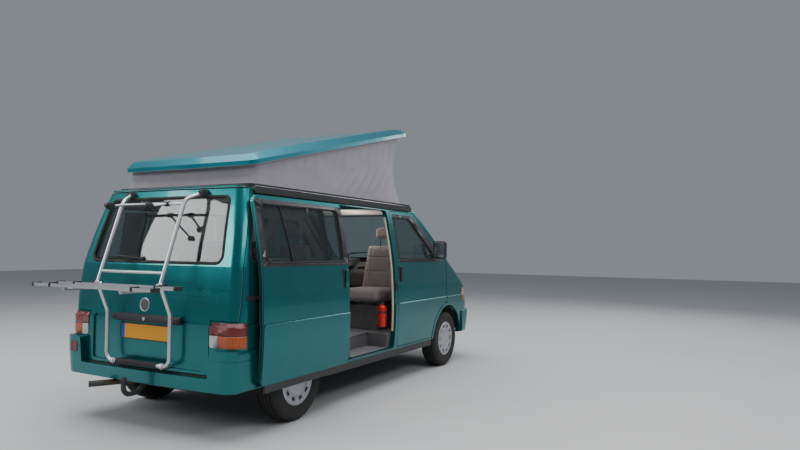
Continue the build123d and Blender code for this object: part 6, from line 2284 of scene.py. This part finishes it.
@dataclass
class FrontEnd:
    """The windscreen wipers, the grille's bare badge place and the mirrors' glass."""

    nodes: dict[str, Piece]
    wiper_z: float = 1.312
    badge_radius: float = 0.057
    mirror_at: tuple[float, float, float] = (2.4605, 0.998, 1.403)

    def build(self) -> None:
        """Makes the front's fittings."""
        self.make_wipers()
        self.make_badge_place()
        self.make_mirror_glass()

    def make_wipers(self) -> None:
        """Parks the two wipers along the foot of the windscreen."""
        def over(y: float, z: float, lift: float) -> Vector:
            """Returns a point a little above the windscreen."""
            return landing(self.nodes["body_glass"], at(BEFORE, y, z), -AHEAD) + vec(lift * 0.78, 0, lift * 0.62)

        profile = ((0, 24), (10, 23), (15, 17), (18, 6), (20, -20), (0, -20))
        arm = ((0, 1.312, 0.024), (0.2, 1.33, 0.03), (0.5, 1.345, 0.024))
        blade = ((0.08, 1.34, 0.011), (0.5, 1.352, 0.013), (1, 1.348, 0.011))
        for word, pivot, tip in (("left", 0.6, 0.02), ("right", -0.02, -0.6)):
            made = [lathe(f"wiper_boss_{word}", profile, over(pivot, self.wiper_z, 0.004), UP, 28)]
            for part, bend, radius in (("arm", arm, 0.0055), ("blade", blade, 0.0045)):
                points = [over(pivot + (tip - pivot) * share, z, lift) for share, z, lift in bend]
                made.append(pipe(f"wiper_{part}_{word}", points, radius))
            fitted(joined(f"wiper_{word}", *made), Shades.BLACK)

    def make_badge_place(self) -> None:
        """Puts the bare round badge place in the middle of the grille."""
        centre = landing(self.nodes["grille"], at(BEFORE, 0, 0.8465), -AHEAD)
        profile = ((0, 6), (30, 5.5), (50, 4), (52, 1.5), (56, 1.5), (58, 7), (63, 9), (67, 6), (68, -4), (0, -4))
        badge = lathe("front_badge_place", profile, centre, AHEAD, 72)
        badge.data.materials.append(Shades.ALLOY.material())
        coloured(badge, Shades.TRIM, lambda place, _: (place - centre).length < self.badge_radius)
        fitted(badge, Shades.ALLOY)

    def make_mirror_glass(self) -> None:
        """Sets the glass in both door mirrors, looking to the rear."""
        station, reach, height = self.mirror_at
        for side, word in SIDES:
            low, high = about(at(station, side * reach, height), (-0.006, -0.062, -0.086), (-0.0005, 0.062, 0.086))
            glass = panel(f"mirror_glass_{word}", low, high, -AHEAD, ((0.004, 0.001),), 0.0015, 3)
            fitted(glass, Shades.MIRROR, f"front_door_{word}")


@dataclass
class CamperHatches:
    """The left side's hatches: fridge vents, mains inlet and water filler."""

    nodes: dict[str, Piece]
    vents: tuple[tuple[float, float], ...] = ((0.78, 1.02), (0.78, 0.64))
    inlet: tuple[float, float] = (0.52, 0.62)
    filler: tuple[float, float] = (-0.38, 1.02)

    def build(self) -> None:
        """Makes two louvred vents, the square inlet flap and the round filler cap."""
        side = self.nodes["side_left"]
        for number, spot in enumerate(self.vents):
            self.make_vent(f"fridge_vent_{number}", beside(side, 1.0, *spot))
        seat = beside(side, 1.0, *self.inlet)
        flap = block("inlet_flap", *about(seat, (-0.055, -0.004, -0.06), (0.055, 0.012, 0.06)))
        edit(flap, looks(LEFT), inset(0.012), extrude((0, 0.006, 0)), resize((0.92, 1.0, 0.92)))
        fitted(rounded(flap, 0.003, 3), Shades.PALE)
        seat = beside(side, 1.0, *self.filler)
        profile = ((0, 16), (22, 16), (25, 14), (26, 8), (37, 7), (41, 4), (42, -4), (0, -4))
        cap = lathe("water_filler", profile, seat, LEFT, 48)
        bar = block("filler_grip", *about(seat, (-0.019, 0.014, -0.0035), (0.019, 0.021, 0.0035)), 0.0015)
        fitted(joined("water_filler", cap, bar), Shades.PALE)

    def make_vent(self, name: str, seat: Vector) -> None:
        """Makes a frame with sloped louvres.

        Args:
            name: the vent's name.
            seat: the middle of its seat.
        """
        corners = about(seat, (-0.15, -0.004, -0.055), (0.15, 0.0095, 0.055))
        frame = panel(name, *corners, LEFT, ((0.012, -0.007),), 0.002)
        slats = []
        for row in range(6):
            z = -0.036 + row * 0.0144
            section = ((0.002, 0.006), (0.0085, -0.004), (0.0068, -0.005), (0.0005, 0.004))
            outline = [seat + vec(-0.138, y, z + up) for y, up in section]
            slats.append(plate(f"{name}_{row}", outline, vec(0.276, 0, 0)))
        fitted(joined(name, frame, *slats), Shades.PALE)


# Stage

@dataclass
class Studio:
    """The floor, the light and the camera of the picture."""

    camera_place: Vector = field(default_factory=lambda: at(-4.2672, -4.0726, 1.4149))
    heading: float = 28.06
    pitch: float = 2.09
    roll: float = 0.65
    lens: float = 28.79
    floor_size: float = 60.0

    def build(self) -> None:
        """Makes the camera, the floor, the lights and the sky."""
        self.make_camera()
        self.make_floor()
        self.make_lights()

    def placed(self, name: str, data: bpy.types.ID, place: Sequence[float]) -> Piece:
        """Puts a lamp or a camera at a place, to be turned by a quaternion.

        Args:
            name: its name.
            data: its own data.
            place: where it goes.

        Returns:
            The lamp or the camera.
        """
        made = bpy.data.objects.new(name, data)
        made.location = place
        made.rotation_mode = "QUATERNION"
        bpy.context.scene.collection.objects.link(made)
        return made

    def make_camera(self) -> None:
        """Puts the camera where the photograph was taken from."""
        data = bpy.data.cameras.new("photo_view")
        data.lens = self.lens
        data.sensor_width = 36.0
        data.clip_end = 200.0
        camera = self.placed("photo_view", data, self.camera_place)
        turn, rise = math.radians(self.heading), math.radians(self.pitch)
        look = vec(math.cos(turn) * math.cos(rise), math.sin(turn) * math.cos(rise), math.sin(rise))
        level = look.to_track_quat("-Z", "Y")
        camera.rotation_quaternion = level @ Quaternion((0, 0, 1.0), math.radians(self.roll))
        bpy.context.scene.camera = camera

    def make_floor(self) -> None:
        """Lays the pale floor and its plain material."""
        bpy.ops.mesh.primitive_plane_add(size=self.floor_size, location=(0, 0, 0))
        floor = bpy.context.object
        floor.name = "studio_floor"
        paper = bpy.data.materials.new("studio_floor")
        paper.use_nodes = True
        board = Board(paper.node_tree)
        mottle = board.noise(1.5, 2.0)
        board.give(board.tree.nodes["Principled BSDF"], roughness=0.85,
                   base_color=board.blend(mottle, (0.5, 0.5, 0.51), (0.54, 0.54, 0.54)))
        floor.data.materials.append(paper)

    def make_lights(self) -> None:
        """Hangs the soft boxes and sets a pale, even sky."""
        world = bpy.context.scene.world or bpy.data.worlds.new("studio_sky")
        bpy.context.scene.world = world
        world.use_nodes = True
        back = world.node_tree.nodes["Background"]
        back.inputs["Color"].default_value = (0.78, 0.85, 0.95, 1.0)
        back.inputs["Strength"].default_value = 0.3
        boxes = (
            ("overhead", (-1.0, 0, 8.0), (0, 0, 0), 11.0, 8.0, 900.0),
            ("rear_left", (-9.0, 5.5, 5.5), (-1.5, 0, 1.2), 6.0, 3.0, 420.0),
            ("near_side", (-2.0, -9.0, 7.0), (0, 0, 1.0), 8.0, 2.0, 260.0),
            ("front", (9.0, -3.0, 6.0), (1.0, 0, 1.2), 5.0, 3.0, 260.0),
        )
        for name, place, aim, width, height, power in boxes:
            lamp = self.placed(name, bpy.data.lights.new(name, "AREA"), place)
            lamp.data.shape = "RECTANGLE"
            lamp.data.size, lamp.data.size_y, lamp.data.energy = width, height, power
            lamp.rotation_quaternion = (Vector(aim) - Vector(place)).to_track_quat("-Z", "Y")
        for name, place in (("cabin_fill", at(0.9, 0, 1.72)), ("cab_fill", at(2.1, 0, 1.7))):
            lamp = self.placed(name, bpy.data.lights.new(name, "POINT"), place)
            lamp.data.energy, lamp.data.shadow_soft_size = 9.0, 0.12
            lamp.data.color = (1.0, 0.9, 0.8)
            lamp.visible_camera = lamp.visible_glossy = lamp.visible_transmission = False


def main() -> None:
    """Builds the looks in order."""
    logging.basicConfig(level=logging.INFO, format="%(name)s: %(message)s")
    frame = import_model()
    bpy.ops.object.select_all(action="DESELECT")
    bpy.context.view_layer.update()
    dress_nodes(frame["nodes"])
    nodes = frame["nodes"]
    assemblies = (
        Wheels(), Lamps(nodes), WindowEdges(nodes), BodyDetails(nodes), TailgateTrim(nodes),
        NumberPlate("rear_plate", nodes["tailgate"], "tailgate", -1.0, 0.692, 0.802),
        NumberPlate("front_plate", nodes["front_bumper"], "body", 1.0, 0.514, 0.612, proud=0.009),
        CarrierFittings(), FrontEnd(nodes), CamperHatches(nodes), Lining(nodes), Kitchen(), Cab(nodes),
        Upholstery(), RoofCanvas(), Studio(),
    )
    for assembly in assemblies:
        assembly.build()
        LOG.info("%s done", type(assembly).__name__)


if __name__ == "__main__":
    main()
